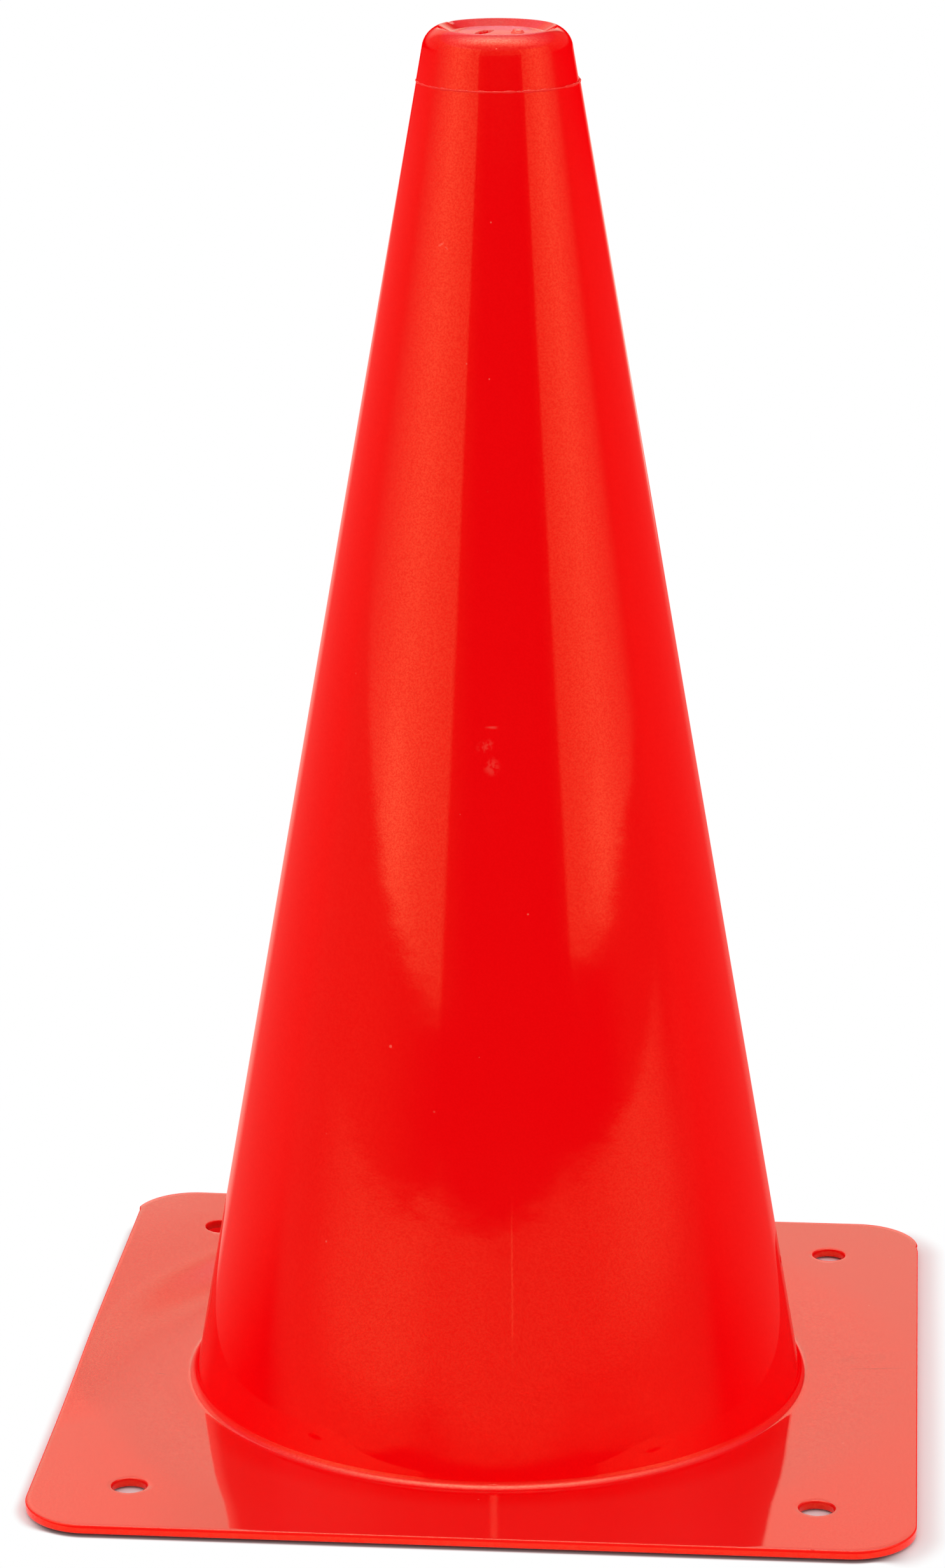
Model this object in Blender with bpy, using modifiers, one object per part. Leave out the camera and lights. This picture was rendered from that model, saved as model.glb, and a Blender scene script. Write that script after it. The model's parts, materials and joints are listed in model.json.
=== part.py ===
"""Training cone: a hollow tapered cone on a square foot plate with four peg holes.

Run it with: blender --background --python part.py
The frame is +Z up, with the origin on the ground under the cone's axis. Lengths are in metres.
The real cone is one moulding. It is divided here along the two lines that the moulding shows:
the parting line under the crown, and the line where the foot fillet runs out into the wall.
"""

import math

import bmesh
import bpy

# Overall sizes
HEIGHT = 0.381
PLATE_WIDTH = 0.2365
PLATE_THICKNESS = 0.0025

# Foot plate
PLATE_CORNER_RADIUS = 0.018
PLATE_EDGE_ROUND = 0.0004
PEG_HOLE_DIAMETER = 0.0095
PEG_HOLE_INSET = 0.0265  # from a hole's centre to the two plate edges beside it

# Cone wall: its outer line runs from the plate's top to the parting line
FOOT_MARGIN = 0.03315  # from the wall's foot to the middle of each plate edge
SEAM_RADIUS = 0.02165
WALL_THICKNESS = 0.002
FOOT_FILLET_RADIUS = 0.002

# Parting line: a thin raised bead of flash on the wall, and a crown that sits just inside it
BEAD_HEIGHT = 0.0005
BEAD_PROUD = 0.00025
SEAM_STEP = 0.00015

# Crown
CROWN_HEIGHT = 0.0146  # from the parting line to the crest of the rim
RIM_OUTER_ROUND = 0.0065
RIM_INNER_ROUND = 0.0013
RECESS_DEPTH = 0.0021
RECESS_FILLET = 0.0006
RECESS_LEAN = math.radians(25)  # the recess wall's lean from upright
CROWN_TOP_THICKNESS = 0.0024
CEILING_ROUND = 0.003

# Gate stub: what is left of the sprue on the recess floor
GATE_STUB_RADIUS = 0.00175
GATE_STUB_HEIGHT = 0.0009
GATE_STUB_SINK = 0.0006
GATE_STUB_OFFSET = 0.0051  # from the axis, towards +X
GATE_STUB_TOP_SHARE = 0.72  # the stub's top radius as a share of its foot's

# Clearance between neighbouring solids, and how far cutters run past what they cut
SEAT_GAP = 0.0003
CUT_OVERRUN = 0.01

# Counts
TURN_STEPS = 80
CORNER_STEPS = 8
HOLE_STEPS = 24
ROUND_STEPS = 8
SMALL_ROUND_STEPS = 4
STUB_STEPS = 16
EDGE_ROUND_STEPS = 2

# Surface: one glossy red plastic all over
MOULDED_RED = (0.79, 0.006, 0.004, 1.0)
MOULDED_ROUGHNESS = 0.22
MOULDED_METALLIC = 0.0

SMOOTH_ANGLE = math.radians(32)
MERGE_DISTANCE = 0.00001


def seam_height():
    """Height of the parting line."""
    return HEIGHT - CROWN_HEIGHT


def foot_radius():
    """Radius of the wall's outer line where it meets the plate's top."""
    return PLATE_WIDTH / 2 - FOOT_MARGIN


def wall_lean():
    """Lean of the cone wall from upright."""
    return math.atan2(foot_radius() - SEAM_RADIUS, seam_height() - PLATE_THICKNESS)


def outer_radius(z):
    """Radius of the wall's outer face at a height, along one straight line."""
    return foot_radius() - (z - PLATE_THICKNESS) * math.tan(wall_lean())


def inner_radius(z):
    """Radius of the wall's inner face at a height."""
    return outer_radius(z) - WALL_THICKNESS / math.cos(wall_lean())


def collar_height():
    """Height at which the foot fillet runs out into the wall."""
    return PLATE_THICKNESS + FOOT_FILLET_RADIUS * (1 - math.sin(wall_lean()))


def arc(centre, radius, start, end, steps):
    """Points of an arc in the profile's plane, both ends included."""
    points = []
    for step in range(steps + 1):
        angle = start + (end - start) * step / steps
        points.append((centre[0] + radius * math.cos(angle), centre[1] + radius * math.sin(angle)))
    return points


def foot_fillet():
    """The fillet between the wall and the plate's top, from the wall down."""
    lean = wall_lean()
    centre_z = PLATE_THICKNESS + FOOT_FILLET_RADIUS
    centre_x = outer_radius(centre_z) + FOOT_FILLET_RADIUS / math.cos(lean)
    start, end = math.pi + lean, math.pi * 1.5
    return arc((centre_x, centre_z), FOOT_FILLET_RADIUS, start, end, SMALL_ROUND_STEPS)


def empty_scene():
    """Removes what the opened scene holds."""
    for obj in list(bpy.data.objects):
        bpy.data.objects.remove(obj, do_unlink=True)


def new_collection(name):
    """Adds a collection to the scene."""
    collection = bpy.data.collections.new(name)
    bpy.context.scene.collection.children.link(collection)
    return collection


def moulded_plastic(name):
    """Glossy red moulded plastic."""
    material = bpy.data.materials.new(name)
    material.use_nodes = True
    shader = material.node_tree.nodes["Principled BSDF"]
    shader.inputs["Base Color"].default_value = MOULDED_RED
    shader.inputs["Roughness"].default_value = MOULDED_ROUGHNESS
    shader.inputs["Metallic"].default_value = MOULDED_METALLIC
    material.diffuse_color = MOULDED_RED
    return material


def add_object(name, mesh, collection):
    """Puts a mesh into a collection as a named object."""
    obj = bpy.data.objects.new(name, mesh)
    collection.objects.link(obj)
    return obj


def turned(name, profile, closed, steps, collection):
    """Turns a profile round Z. A closed profile is a ring's section; an open one ends on the axis."""
    count = len(profile)
    edges = [(i, i + 1) for i in range(count - 1)]
    if closed:
        edges.append((count - 1, 0))
    mesh = bpy.data.meshes.new(name)
    mesh.from_pydata([(x, 0, z) for x, z in profile], edges, [])
    obj = add_object(name, mesh, collection)
    screw = obj.modifiers.new("Turn", "SCREW")
    screw.axis = "Z"
    screw.angle = math.tau
    screw.steps = steps
    screw.render_steps = steps
    screw.use_merge_vertices = True
    screw.merge_threshold = MERGE_DISTANCE
    return obj


def evaluated_mesh(obj):
    """A plain mesh of an object with its modifiers or its curve worked out."""
    bpy.context.view_layer.update()
    depsgraph = bpy.context.evaluated_depsgraph_get()
    return bpy.data.meshes.new_from_object(obj.evaluated_get(depsgraph))


def settle(obj):
    """Replaces an object's mesh and modifiers by the plain mesh that they give."""
    mesh = evaluated_mesh(obj)
    old = obj.data
    obj.modifiers.clear()
    obj.data = mesh
    bpy.data.meshes.remove(old)
    mesh.name = obj.name


def combine(obj, other, operation):
    """Joins, cuts or intersects an object with another one."""
    boolean = obj.modifiers.new(other.name, "BOOLEAN")
    boolean.operation = operation
    boolean.solver = "EXACT"
    boolean.object = other


def as_cutter(obj):
    """Marks an object as a tool that isn't part of the cone."""
    obj.hide_render = True
    obj.display_type = "WIRE"


def finish(obj, material):
    """Gives a part its material and smooth shading with crisp edges."""
    obj.data.materials.clear()
    obj.data.materials.append(material)
    obj.data.shade_smooth()
    obj.data.set_sharp_from_angle(angle=SMOOTH_ANGLE)


def corner_signs():
    """The plate's four corners, anticlockwise from the front left."""
    return [(-1, -1), (1, -1), (1, 1), (-1, 1)]


def plate_outline():
    """Outline of the square plate with its rounded corners, anticlockwise."""
    points = []
    inset = PLATE_WIDTH / 2 - PLATE_CORNER_RADIUS
    for corner, (side_x, side_y) in enumerate(corner_signs()):
        start = math.pi + corner * math.pi / 2
        centre = (side_x * inset, side_y * inset)
        points += arc(centre, PLATE_CORNER_RADIUS, start, start + math.pi / 2, CORNER_STEPS)
    return points


def peg_hole_centres():
    """Centres of the four peg holes."""
    offset = PLATE_WIDTH / 2 - PEG_HOLE_INSET
    return [(side_x * offset, side_y * offset) for side_x, side_y in corner_signs()]


def peg_hole_outline(centre):
    """Outline of one peg hole."""
    return arc(centre, PEG_HOLE_DIAMETER / 2, 0, math.tau, HOLE_STEPS)[:-1]


def outline_prism(cutters):
    """A tall prism of the plate's outline, with the peg holes left open in it."""
    curve = bpy.data.curves.new("plate_outline_curve", "CURVE")
    curve.dimensions = "2D"
    curve.fill_mode = "BOTH"
    curve.extrude = PLATE_THICKNESS / 2 + FOOT_FILLET_RADIUS + CUT_OVERRUN
    for outline in [plate_outline()] + [peg_hole_outline(c) for c in peg_hole_centres()]:
        spline = curve.splines.new("POLY")
        spline.points.add(len(outline) - 1)
        for point, (x, y) in zip(spline.points, outline):
            point.co = (x, y, 0, 1)
        spline.use_cyclic_u = True
    drawn = add_object("plate_outline_curve", curve, cutters)
    drawn.location.z = PLATE_THICKNESS / 2
    prism = add_object("plate_outline_prism", evaluated_mesh(drawn), cutters)
    prism.matrix_world = drawn.matrix_world.copy()
    bpy.data.objects.remove(drawn, do_unlink=True)
    weld(prism.data)
    as_cutter(prism)
    return prism


def weld(mesh):
    """Merges doubled points and turns the faces outwards."""
    shape = bmesh.new()
    shape.from_mesh(mesh)
    bmesh.ops.remove_doubles(shape, verts=shape.verts, dist=MERGE_DISTANCE)
    bmesh.ops.recalc_face_normals(shape, faces=shape.faces)
    shape.to_mesh(mesh)
    shape.free()


def round_plate_edges(mesh):
    """Rounds the plate's outline and the rims of its peg holes, top and bottom."""
    fillet_foot = foot_fillet()[-1][0]
    shape = bmesh.new()
    shape.from_mesh(mesh)
    bmesh.ops.remove_doubles(shape, verts=shape.verts, dist=MERGE_DISTANCE)
    rims = []
    for edge in shape.edges:
        far_out = all(v.co.xy.length > fillet_foot + PLATE_EDGE_ROUND for v in edge.verts)
        level = abs(edge.verts[0].co.z - edge.verts[1].co.z) < MERGE_DISTANCE
        if far_out and level and edge.calc_face_angle(0) > math.pi / 4:
            rims.append(edge)
    bmesh.ops.bevel(
        shape,
        geom=rims,
        offset=PLATE_EDGE_ROUND,
        segments=EDGE_ROUND_STEPS,
        profile=0.5,
        affect="EDGES",
        clamp_overlap=True,
    )
    shape.to_mesh(mesh)
    shape.free()


def make_base_plate(parts, cutters):
    """The foot plate, with the collar and fillet that carry the cone wall."""
    disc_radius = PLATE_WIDTH
    profile = [(inner_radius(collar_height()), collar_height())]
    profile += foot_fillet()
    profile += [(disc_radius, PLATE_THICKNESS), (disc_radius, 0), (inner_radius(0), 0)]
    plate = turned("base_plate", profile, True, TURN_STEPS, parts)
    combine(plate, outline_prism(cutters), "INTERSECT")
    settle(plate)
    round_plate_edges(plate.data)
    return plate


def make_cone_wall(parts):
    """The hollow tapered wall, from the foot fillet to the parting line, with its bead of flash."""
    bottom = collar_height() + SEAT_GAP
    top = seam_height() - SEAT_GAP / 2
    bead_low = top - BEAD_HEIGHT
    bead_radius = outer_radius(bead_low) + BEAD_PROUD
    profile = [
        (outer_radius(top) + BEAD_PROUD / 2, top),
        (bead_radius, top - BEAD_HEIGHT / 3),
        (bead_radius, bead_low + BEAD_HEIGHT / 3),
        (outer_radius(bead_low), bead_low),
        (outer_radius(bottom), bottom),
        (inner_radius(bottom), bottom),
        (inner_radius(top), top),
    ]
    base = [(x, z - bottom) for x, z in profile]
    wall = turned("cone_wall", base, True, TURN_STEPS, parts)
    wall.location.z = bottom
    settle(wall)
    return wall


def rim_outer_arc():
    """The rim's outer round, from its crest down to where it meets the crown's upright side."""
    lean = wall_lean()
    side_radius = outer_radius(seam_height()) - SEAM_STEP
    centre_z = HEIGHT - RIM_OUTER_ROUND
    rise = centre_z - seam_height()
    centre_x = side_radius - (RIM_OUTER_ROUND + rise * math.sin(lean)) / math.cos(lean)
    return arc((centre_x, centre_z), RIM_OUTER_ROUND, math.pi / 2, lean, ROUND_STEPS)


def recess_wall(crest_radius):
    """The rim's inner round, the recess wall and the fillet at the recess floor, from the floor up."""
    floor = HEIGHT - RECESS_DEPTH
    cos_lean, sin_lean = math.cos(RECESS_LEAN), math.sin(RECESS_LEAN)
    round_z = HEIGHT - RIM_INNER_ROUND
    start_x = crest_radius - RIM_INNER_ROUND * cos_lean
    start_z = round_z + RIM_INNER_ROUND * sin_lean
    slide = (start_z - floor - RECESS_FILLET * (1 - sin_lean)) / cos_lean
    fillet_x = start_x - slide * sin_lean - RECESS_FILLET * cos_lean
    fillet = arc(
        (fillet_x, floor + RECESS_FILLET),
        RECESS_FILLET,
        math.pi * 1.5,
        math.tau - RECESS_LEAN,
        SMALL_ROUND_STEPS,
    )
    inner_round = arc(
        (crest_radius, round_z),
        RIM_INNER_ROUND,
        math.pi - RECESS_LEAN,
        math.pi / 2,
        SMALL_ROUND_STEPS,
    )
    return [(0, floor)] + fillet + inner_round[:-1]


def crown_inside():
    """The crown's inner face, from its lower end up to the middle of the ceiling."""
    lean = wall_lean()
    bottom = seam_height() + SEAT_GAP / 2
    ceiling = HEIGHT - RECESS_DEPTH - CROWN_TOP_THICKNESS
    centre_z = ceiling - CEILING_ROUND
    centre_x = inner_radius(centre_z) - SEAM_STEP - CEILING_ROUND / math.cos(lean)
    corner = arc((centre_x, centre_z), CEILING_ROUND, lean, math.pi / 2, SMALL_ROUND_STEPS)
    return [(inner_radius(bottom) - SEAM_STEP, bottom)] + corner + [(0, ceiling)]


def make_gate_stub(cutters):
    """The cut-off stub of the sprue, standing on the recess floor."""
    top_radius = GATE_STUB_RADIUS * GATE_STUB_TOP_SHARE
    shoulder = GATE_STUB_HEIGHT * GATE_STUB_TOP_SHARE
    profile = [
        (0, GATE_STUB_HEIGHT),
        (top_radius, GATE_STUB_HEIGHT),
        (GATE_STUB_RADIUS, shoulder),
        (GATE_STUB_RADIUS, -GATE_STUB_SINK),
        (0, -GATE_STUB_SINK),
    ]
    stub = turned("gate_stub", profile, False, STUB_STEPS, cutters)
    stub.location = (GATE_STUB_OFFSET, 0, HEIGHT - RECESS_DEPTH - seam_height())
    settle(stub)
    weld(stub.data)
    as_cutter(stub)
    return stub


def make_crown(parts, cutters):
    """The moulded crown: rolled rim, shallow recess with its gate stub, and a hollow underside."""
    seam = seam_height()
    bottom = seam + SEAT_GAP / 2
    outer = rim_outer_arc()
    side_foot = (outer_radius(bottom) - SEAM_STEP, bottom)
    profile = recess_wall(outer[0][0]) + outer + [side_foot] + crown_inside()
    crown = turned("crown", [(x, z - seam) for x, z in profile], False, TURN_STEPS, parts)
    settle(crown)
    weld(crown.data)
    combine(crown, make_gate_stub(cutters), "UNION")
    settle(crown)
    crown.location.z = seam
    return crown


def main():
    """Builds the cone's parts."""
    empty_scene()
    parts = new_collection("training_cone")
    cutters = new_collection("cutters")
    frame = add_object("cone_frame", None, parts)
    makers = [
        ("foot", make_base_plate(parts, cutters)),
        ("wall", make_cone_wall(parts)),
        ("crown", make_crown(parts, cutters)),
    ]
    for place, part in makers:
        finish(part, moulded_plastic("moulded_" + place))
        part.parent = frame


main()
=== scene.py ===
"""Training cone: its looks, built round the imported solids.

Three moulded pieces stand for the three solids of the cone. Three small ones add what the mould
and the trimming left: the stub of the sprue, the ridge of flash round the parting line and the
flecks along the plate's edge.
Lengths are in metres, in the frame of the solids: +Z up, with the origin on the ground under the
cone's axis. The file is laid out as an add-on, and is run as a script.
"""

import json
import math

import bpy
from mathutils import Matrix, Quaternion, Vector, noise


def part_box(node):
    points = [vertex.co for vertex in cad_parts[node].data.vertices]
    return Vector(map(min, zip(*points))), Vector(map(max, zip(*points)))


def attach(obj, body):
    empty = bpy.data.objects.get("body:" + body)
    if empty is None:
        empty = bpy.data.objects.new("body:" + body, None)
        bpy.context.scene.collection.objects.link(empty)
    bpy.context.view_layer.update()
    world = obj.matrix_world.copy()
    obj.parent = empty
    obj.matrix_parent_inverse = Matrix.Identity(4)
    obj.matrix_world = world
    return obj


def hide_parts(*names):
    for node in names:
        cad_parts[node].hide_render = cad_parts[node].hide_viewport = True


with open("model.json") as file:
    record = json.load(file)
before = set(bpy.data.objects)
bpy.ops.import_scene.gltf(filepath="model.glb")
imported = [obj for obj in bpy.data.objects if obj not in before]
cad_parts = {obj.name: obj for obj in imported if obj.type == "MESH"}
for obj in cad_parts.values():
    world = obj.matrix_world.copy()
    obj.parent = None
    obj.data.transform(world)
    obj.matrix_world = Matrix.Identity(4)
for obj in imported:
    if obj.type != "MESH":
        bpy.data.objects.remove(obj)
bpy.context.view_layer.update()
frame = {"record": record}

bl_info = {
    "name": "Training Cone",
    "version": (1, 0, 0),
    "blender": (4, 5, 0),
    "location": "3D View > Sidebar > Cone",
    "description": "Builds a glossy moulded training cone and the studio that it stands in",
    "category": "Add Mesh",
}

# What the frame says: the body that all pieces ride on, and the boxes
BODY = "root"
PLATE_LOW, PLATE_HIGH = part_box("base_plate")
WALL_LOW, WALL_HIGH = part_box("cone_wall")
CROWN_LOW, CROWN_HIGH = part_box("crown")

# Heights and reaches that follow from it
TOP = CROWN_HIGH.z
SEAM = (WALL_HIGH.z + CROWN_LOW.z) / 2
COLLAR = (PLATE_HIGH.z + WALL_LOW.z) / 2
PLATE_TOP = next(m["pos_m"][2] for m in frame["record"]["mounts"] if m["name"].startswith("peg_seat"))
PLATE_HALF = PLATE_HIGH.x
PEG_HOLE_BOXES = [o["box_m"] for o in frame["record"]["physics"]["openings"] if "peg" in o["name"]]
PEG_HOLE_CENTRE = sum(PEG_HOLE_BOXES[2][i][0] for i in (0, 1)) / 2

MERGE_DISTANCE = 0.000005
SMOOTH_ANGLE = math.radians(34)


def length(name, description, default, low=0.0):
    """A length that a user can set, in metres."""
    look = {"precision": 5, "unit": "LENGTH", "subtype": "DISTANCE"}
    return bpy.props.FloatProperty(name=name, description=description, default=default, min=low, **look)


def place(name, description, default):
    """A place or a move, in metres."""
    look = {"precision": 5, "unit": "LENGTH", "subtype": "TRANSLATION"}
    return bpy.props.FloatVectorProperty(name=name, description=description, default=default, **look)


def angle(name, description, degrees):
    """An angle that is given here in degrees."""
    return bpy.props.FloatProperty(
        name=name, description=description, default=math.radians(degrees), unit="ROTATION", subtype="ANGLE"
    )


def whole(name, description, default, low=0, step=1):
    """A whole number."""
    return bpy.props.IntProperty(name=name, description=description, default=default, min=low, step=step)


def share(name, description, default, high=1.0):
    """A share, from none to all."""
    return bpy.props.FloatProperty(
        name=name, description=description, default=default, min=0.0, max=high, precision=3
    )


def colour(name, description, default):
    """A colour in linear red, green and blue."""
    return bpy.props.FloatVectorProperty(
        name=name, description=description, default=default, size=3, min=0.0, max=1.0, subtype="COLOR"
    )


class MouldSettings(bpy.types.PropertyGroup):
    """Sizes that all the moulded pieces share."""

    steps: whole("Steps", "Facets in one turn round the axis, a multiple of 8", 384, 64, 8)
    wall_thickness: length("Wall Thickness", "Thickness of the cone wall", 0.002)
    seam_step: length("Seam Step", "How far the crown lies inside the wall at the parting line", 0.00015)
    row: length("Row Height", "Height of one row of faces on the wall", 0.003, 0.0005)
    wave_height: length("Wave Height", "How far the wall bows in and out of true", 0.00012)
    wave_length: length("Wave Length", "Length of the wall's slow waves", 0.09, 0.001)
    wave_fade: length("Wave Fade", "Height over which the waves start and stop", 0.025, 0.001)
    seed: whole("Seed", "Picks the pattern of the waves", 3)


class CrownSettings(bpy.types.PropertyGroup):
    """Sizes of the crown above the parting line."""

    rim_round: length("Rim Round", "Radius of the rim's outer round", 0.0065)
    lip_radius: length("Lip Radius", "From the axis to the lip, where the recess cuts the rim", 0.0159)
    lip_round: length("Lip Round", "Radius of the round from the rim into the recess", 0.0005)
    nick_depth: length("Nick Depth", "Depth of the nick in the lip", 0.0003)
    recess_depth: length("Recess Depth", "Depth of the recess below the rim", 0.0021)
    recess_fillet: length("Recess Fillet", "Fillet between the recess wall and its floor", 0.0006)
    recess_lean: angle("Recess Lean", "Lean of the recess wall from upright", 62)
    top_thickness: length("Top Thickness", "Thickness of the crown's top", 0.0024)
    ceiling_round: length("Ceiling Round", "Round inside, between the wall and the ceiling", 0.003)
    shift: place("Shift", "How far the upper half of the mould was out of line", (-0.00024, 0.0, 0.0))
    scar_depth: length("Scar Depth", "Depth of the scar in the recess floor", 0.0008)
    scar_width: length("Scar Width", "Width of the scar at its middle", 0.0034)
    stub_radius: length("Stub Radius", "Radius of the stub of the sprue", 0.00175)
    stub_height: length("Stub Height", "Height of the stub above the recess floor", 0.00085)
    stub_offset: length("Stub Offset", "From the axis to the stub", 0.0051)


class PlateSettings(bpy.types.PropertyGroup):
    """Sizes of the foot plate."""

    corner_radius: length("Corner Radius", "Radius of the plate's corners", 0.018)
    edge_round: length("Edge Round", "Round along the plate's edges", 0.0004)
    peg_hole: length("Peg Hole", "Diameter of the peg holes", 0.0095)
    foot_fillet: length("Foot Fillet", "Fillet between the plate and the wall", 0.0018)
    tail_length: length("Tail Length", "Length of the shallow tail of the fillet on the plate", 0.0027)
    tail_height: length("Tail Height", "Height of the fillet where its tail starts", 0.0005)
    hollow_depth: length("Hollow Depth", "How far the plate's top is sunk round the foot", 0.0004)
    hollow_reach: length("Hollow Reach", "From the axis to the end of that hollow", 0.12)
    corner_lift: length("Corner Lift", "How far the back left corner is bent up", 0.0042)
    edge_draw: length("Edge Draw", "How far the left edge is drawn in near that corner", 0.001)
    nick_depth: length("Nick Depth", "Depth of the nick in the right edge", 0.0004)
    nick_length: length("Nick Length", "Half the nick's length along the edge", 0.002)
    nick_place: length("Nick Place", "From the axis back to the nick", 0.1)
    wave_height: length("Wave Height", "Height of the plate's slow waves", 0.00003)
    wave_length: length("Wave Length", "Length of the plate's slow waves", 0.045, 0.001)


class FlashSettings(bpy.types.PropertyGroup):
    """Sizes of the flash that the mould left."""

    ridge_proud: length("Ridge Proud", "How far the parting line stands out", 0.0003)
    ridge_height: length("Ridge Height", "Height of the parting line's ridge", 0.00042)
    ridge_wander: length("Ridge Wander", "How far the ridge wanders up and down", 0.00012)
    fleck_size: length("Fleck Size", "Length of a fleck on the plate's edge", 0.0009)
    fleck_places: whole("Fleck Places", "Places along the front edge that can have a fleck", 90, 2)
    fleck_share: share("Fleck Share", "Share of the places along the edge that have a fleck", 0.11)
    seed: whole("Seed", "Picks the pattern of the flash", 11)


class FinishSettings(bpy.types.PropertyGroup):
    """Colours and finish of the plastic."""

    plastic: colour("Plastic", "Colour of the moulded plastic", (0.80, 0.0003, 0.0022))
    pale: colour("Pale", "Colour of the plastic where it is scratched or stretched", (0.86, 0.16, 0.12))
    gloss_tint: colour("Gloss Tint", "Tint of the gloss where it is looked at squarely", (1.0, 1.0, 0.45))
    # Also the colour of painted shade: the crease near the plate's right edge is painted with it.
    smudge_and_shade: colour("Smudge", "Colour of the plastic under a dark smudge", (0.42, 0.0, 0.001))
    lit_edge: colour("Lit Edge", "Colour of a thin edge that light comes through", (0.98, 0.004, 0.003))
    roughness: share("Roughness", "Roughness of clean plastic", 0.045)
    speck_share: share("Speck Share", "Share of the places that have a pale speck", 0.07)
    grain_share: share("Grain Share", "Strength of the fine grain of the colour", 0.9)
    grain_size: length("Grain Size", "Size of that grain", 0.0005)
    grain: length("Grain", "Height of the fine grain", 0.0000012)
    ripple: length("Ripple", "Height of the ripples that bend reflections", 0.000012)


class StudioSettings(bpy.types.PropertyGroup):
    """The floor, the light and the camera."""

    lens: bpy.props.FloatProperty(
        name="Lens", description="Focal length on a 36 mm long side", default=118.659, min=1.0, unit="CAMERA"
    )
    camera_place: place("Camera Place", "Where the camera stands", (0.10685, -1.35473, 0.56792))
    camera_aim: place("Camera Aim", "What the picture's middle looks at", (-0.00253, -0.05429, 0.18898))
    camera_roll: angle("Camera Roll", "Turn of the picture about the line of sight", -0.082)
    floor_drop: length("Floor Drop", "Gap between the plate's underside and the floor", 0.0006)
    fill: share("Fill", "Level of the even light that shows the colour", 1.05, 4.0)
    front_fill: share("Front Fill", "What is added to it from the viewer's side", 0.55, 4.0)
    side_fill: share("Side Fill", "What is added to it from the left and the right", 1.9, 6.0)
    top_loss: share("Top Loss", "What is taken off it from straight above", 0.27)
    red_bounce: share("Red Bounce", "Level of the red that the gloss shows behind the sides", 0.9, 2.0)


def settings(context, kind):
    """The named group of settings of the scene."""
    return getattr(context.scene, "cone_" + kind)


# Small tools for node trees


def add_node(tree, kind, inputs=None, **choices):
    """Adds a node with its choices set and its inputs given a value or a link."""
    node = tree.nodes.new(kind)
    for name, value in choices.items():
        setattr(node, name, value)
    for key, value in (inputs or {}).items():
        give(tree, node.inputs[key], value)
    return node


def give(tree, socket, value):
    """Links a socket to another one, or sets its value."""
    if isinstance(value, bpy.types.NodeSocket):
        tree.links.new(value, socket)
    else:
        socket.default_value = value


def tree_of(values):
    """The node tree of the first link among some values."""
    return next(value.id_data for value in values if isinstance(value, bpy.types.NodeSocket))


def calc(operation, *values):
    """The result of a sum on numbers and links."""
    inputs = dict(enumerate(values))
    return add_node(tree_of(values), "ShaderNodeMath", inputs, operation=operation).outputs[0]


def plus(first, *others):
    """All the values added up."""
    for other in others:
        first = calc("ADD", first, other)
    return first


def times(first, *others):
    """All the values multiplied."""
    for other in others:
        first = calc("MULTIPLY", first, other)
    return first


def minus(first, second):
    """The first value less the second."""
    return calc("SUBTRACT", first, second)


def over(first, second):
    """The first value divided by the second."""
    return calc("DIVIDE", first, second)


def times_plus(first, second, third):
    """The first value times the second, plus the third."""
    return calc("MULTIPLY_ADD", first, second, third)


def vector_calc(operation, *values):
    """The result of a sum on vectors."""
    inputs = dict(enumerate(values))
    node = add_node(tree_of(values), "ShaderNodeVectorMath", inputs, operation=operation)
    return node.outputs["Value" if operation in ("LENGTH", "DISTANCE") else "Vector"]


def scaled(vector, amount):
    """A vector made longer by an amount."""
    inputs = {0: vector, "Scale": amount}
    return add_node(vector.id_data, "ShaderNodeVectorMath", inputs, operation="SCALE").outputs[0]


def vector_of(tree, x=0.0, y=0.0, z=0.0):
    """A vector of three numbers."""
    return add_node(tree, "ShaderNodeCombineXYZ", {"X": x, "Y": y, "Z": z}).outputs[0]


def ramp(value, low, high, start=0.0, end=1.0):
    """A soft step from start to end, as the value goes from low to high."""
    inputs = {"Value": value, "From Min": low, "From Max": high, "To Min": start, "To Max": end}
    node = add_node(value.id_data, "ShaderNodeMapRange", inputs, interpolation_type="SMOOTHSTEP")
    return node.outputs[0]


def within(value, starts, stops):
    """One between the places where a value starts and stops, with soft ends."""
    return times(ramp(value, *starts), ramp(value, *stops, 1.0, 0.0))


def mix_number(share_of_second, first, second):
    """A blend of two numbers."""
    inputs = {0: share_of_second, 2: first, 3: second}
    return add_node(share_of_second.id_data, "ShaderNodeMix", inputs).outputs[0]


def mix_colour(share_of_second, first, second):
    """A blend of two colours."""
    tree = share_of_second.id_data
    node = add_node(tree, "ShaderNodeMix", data_type="RGBA")
    give_all(tree, node.inputs, {"Factor_Float": share_of_second, "A_Color": first, "B_Color": second})
    return next(o for o in node.outputs if o.identifier == "Result_Color")


def mix_shader(share_of_second, first, second):
    """A blend of two shaders."""
    inputs = {0: share_of_second, 1: first, 2: second}
    return add_node(share_of_second.id_data, "ShaderNodeMixShader", inputs).outputs[0]


def clouds(vector, size, detail, seed=None):
    """Smooth noise with spots of about a size, in one of many patterns where a seed is given."""
    scale = 1 / size if isinstance(size, float) else over(1.0, size)
    inputs = {"Vector": vector, "Scale": scale, "Detail": detail}
    if seed is None:
        return add_node(vector.id_data, "ShaderNodeTexNoise", inputs).outputs[0]
    inputs["W"] = seed
    return add_node(vector.id_data, "ShaderNodeTexNoise", inputs, noise_dimensions="4D").outputs[0]


def parts_of(vector):
    """The three numbers of a vector."""
    return add_node(vector.id_data, "ShaderNodeSeparateXYZ", {0: vector}).outputs


def from_axis(place):
    """How far a place lies from the cone's axis."""
    return calc("SQRT", plus(*(times(place[axis], place[axis]) for axis in ("X", "Y"))))


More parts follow.
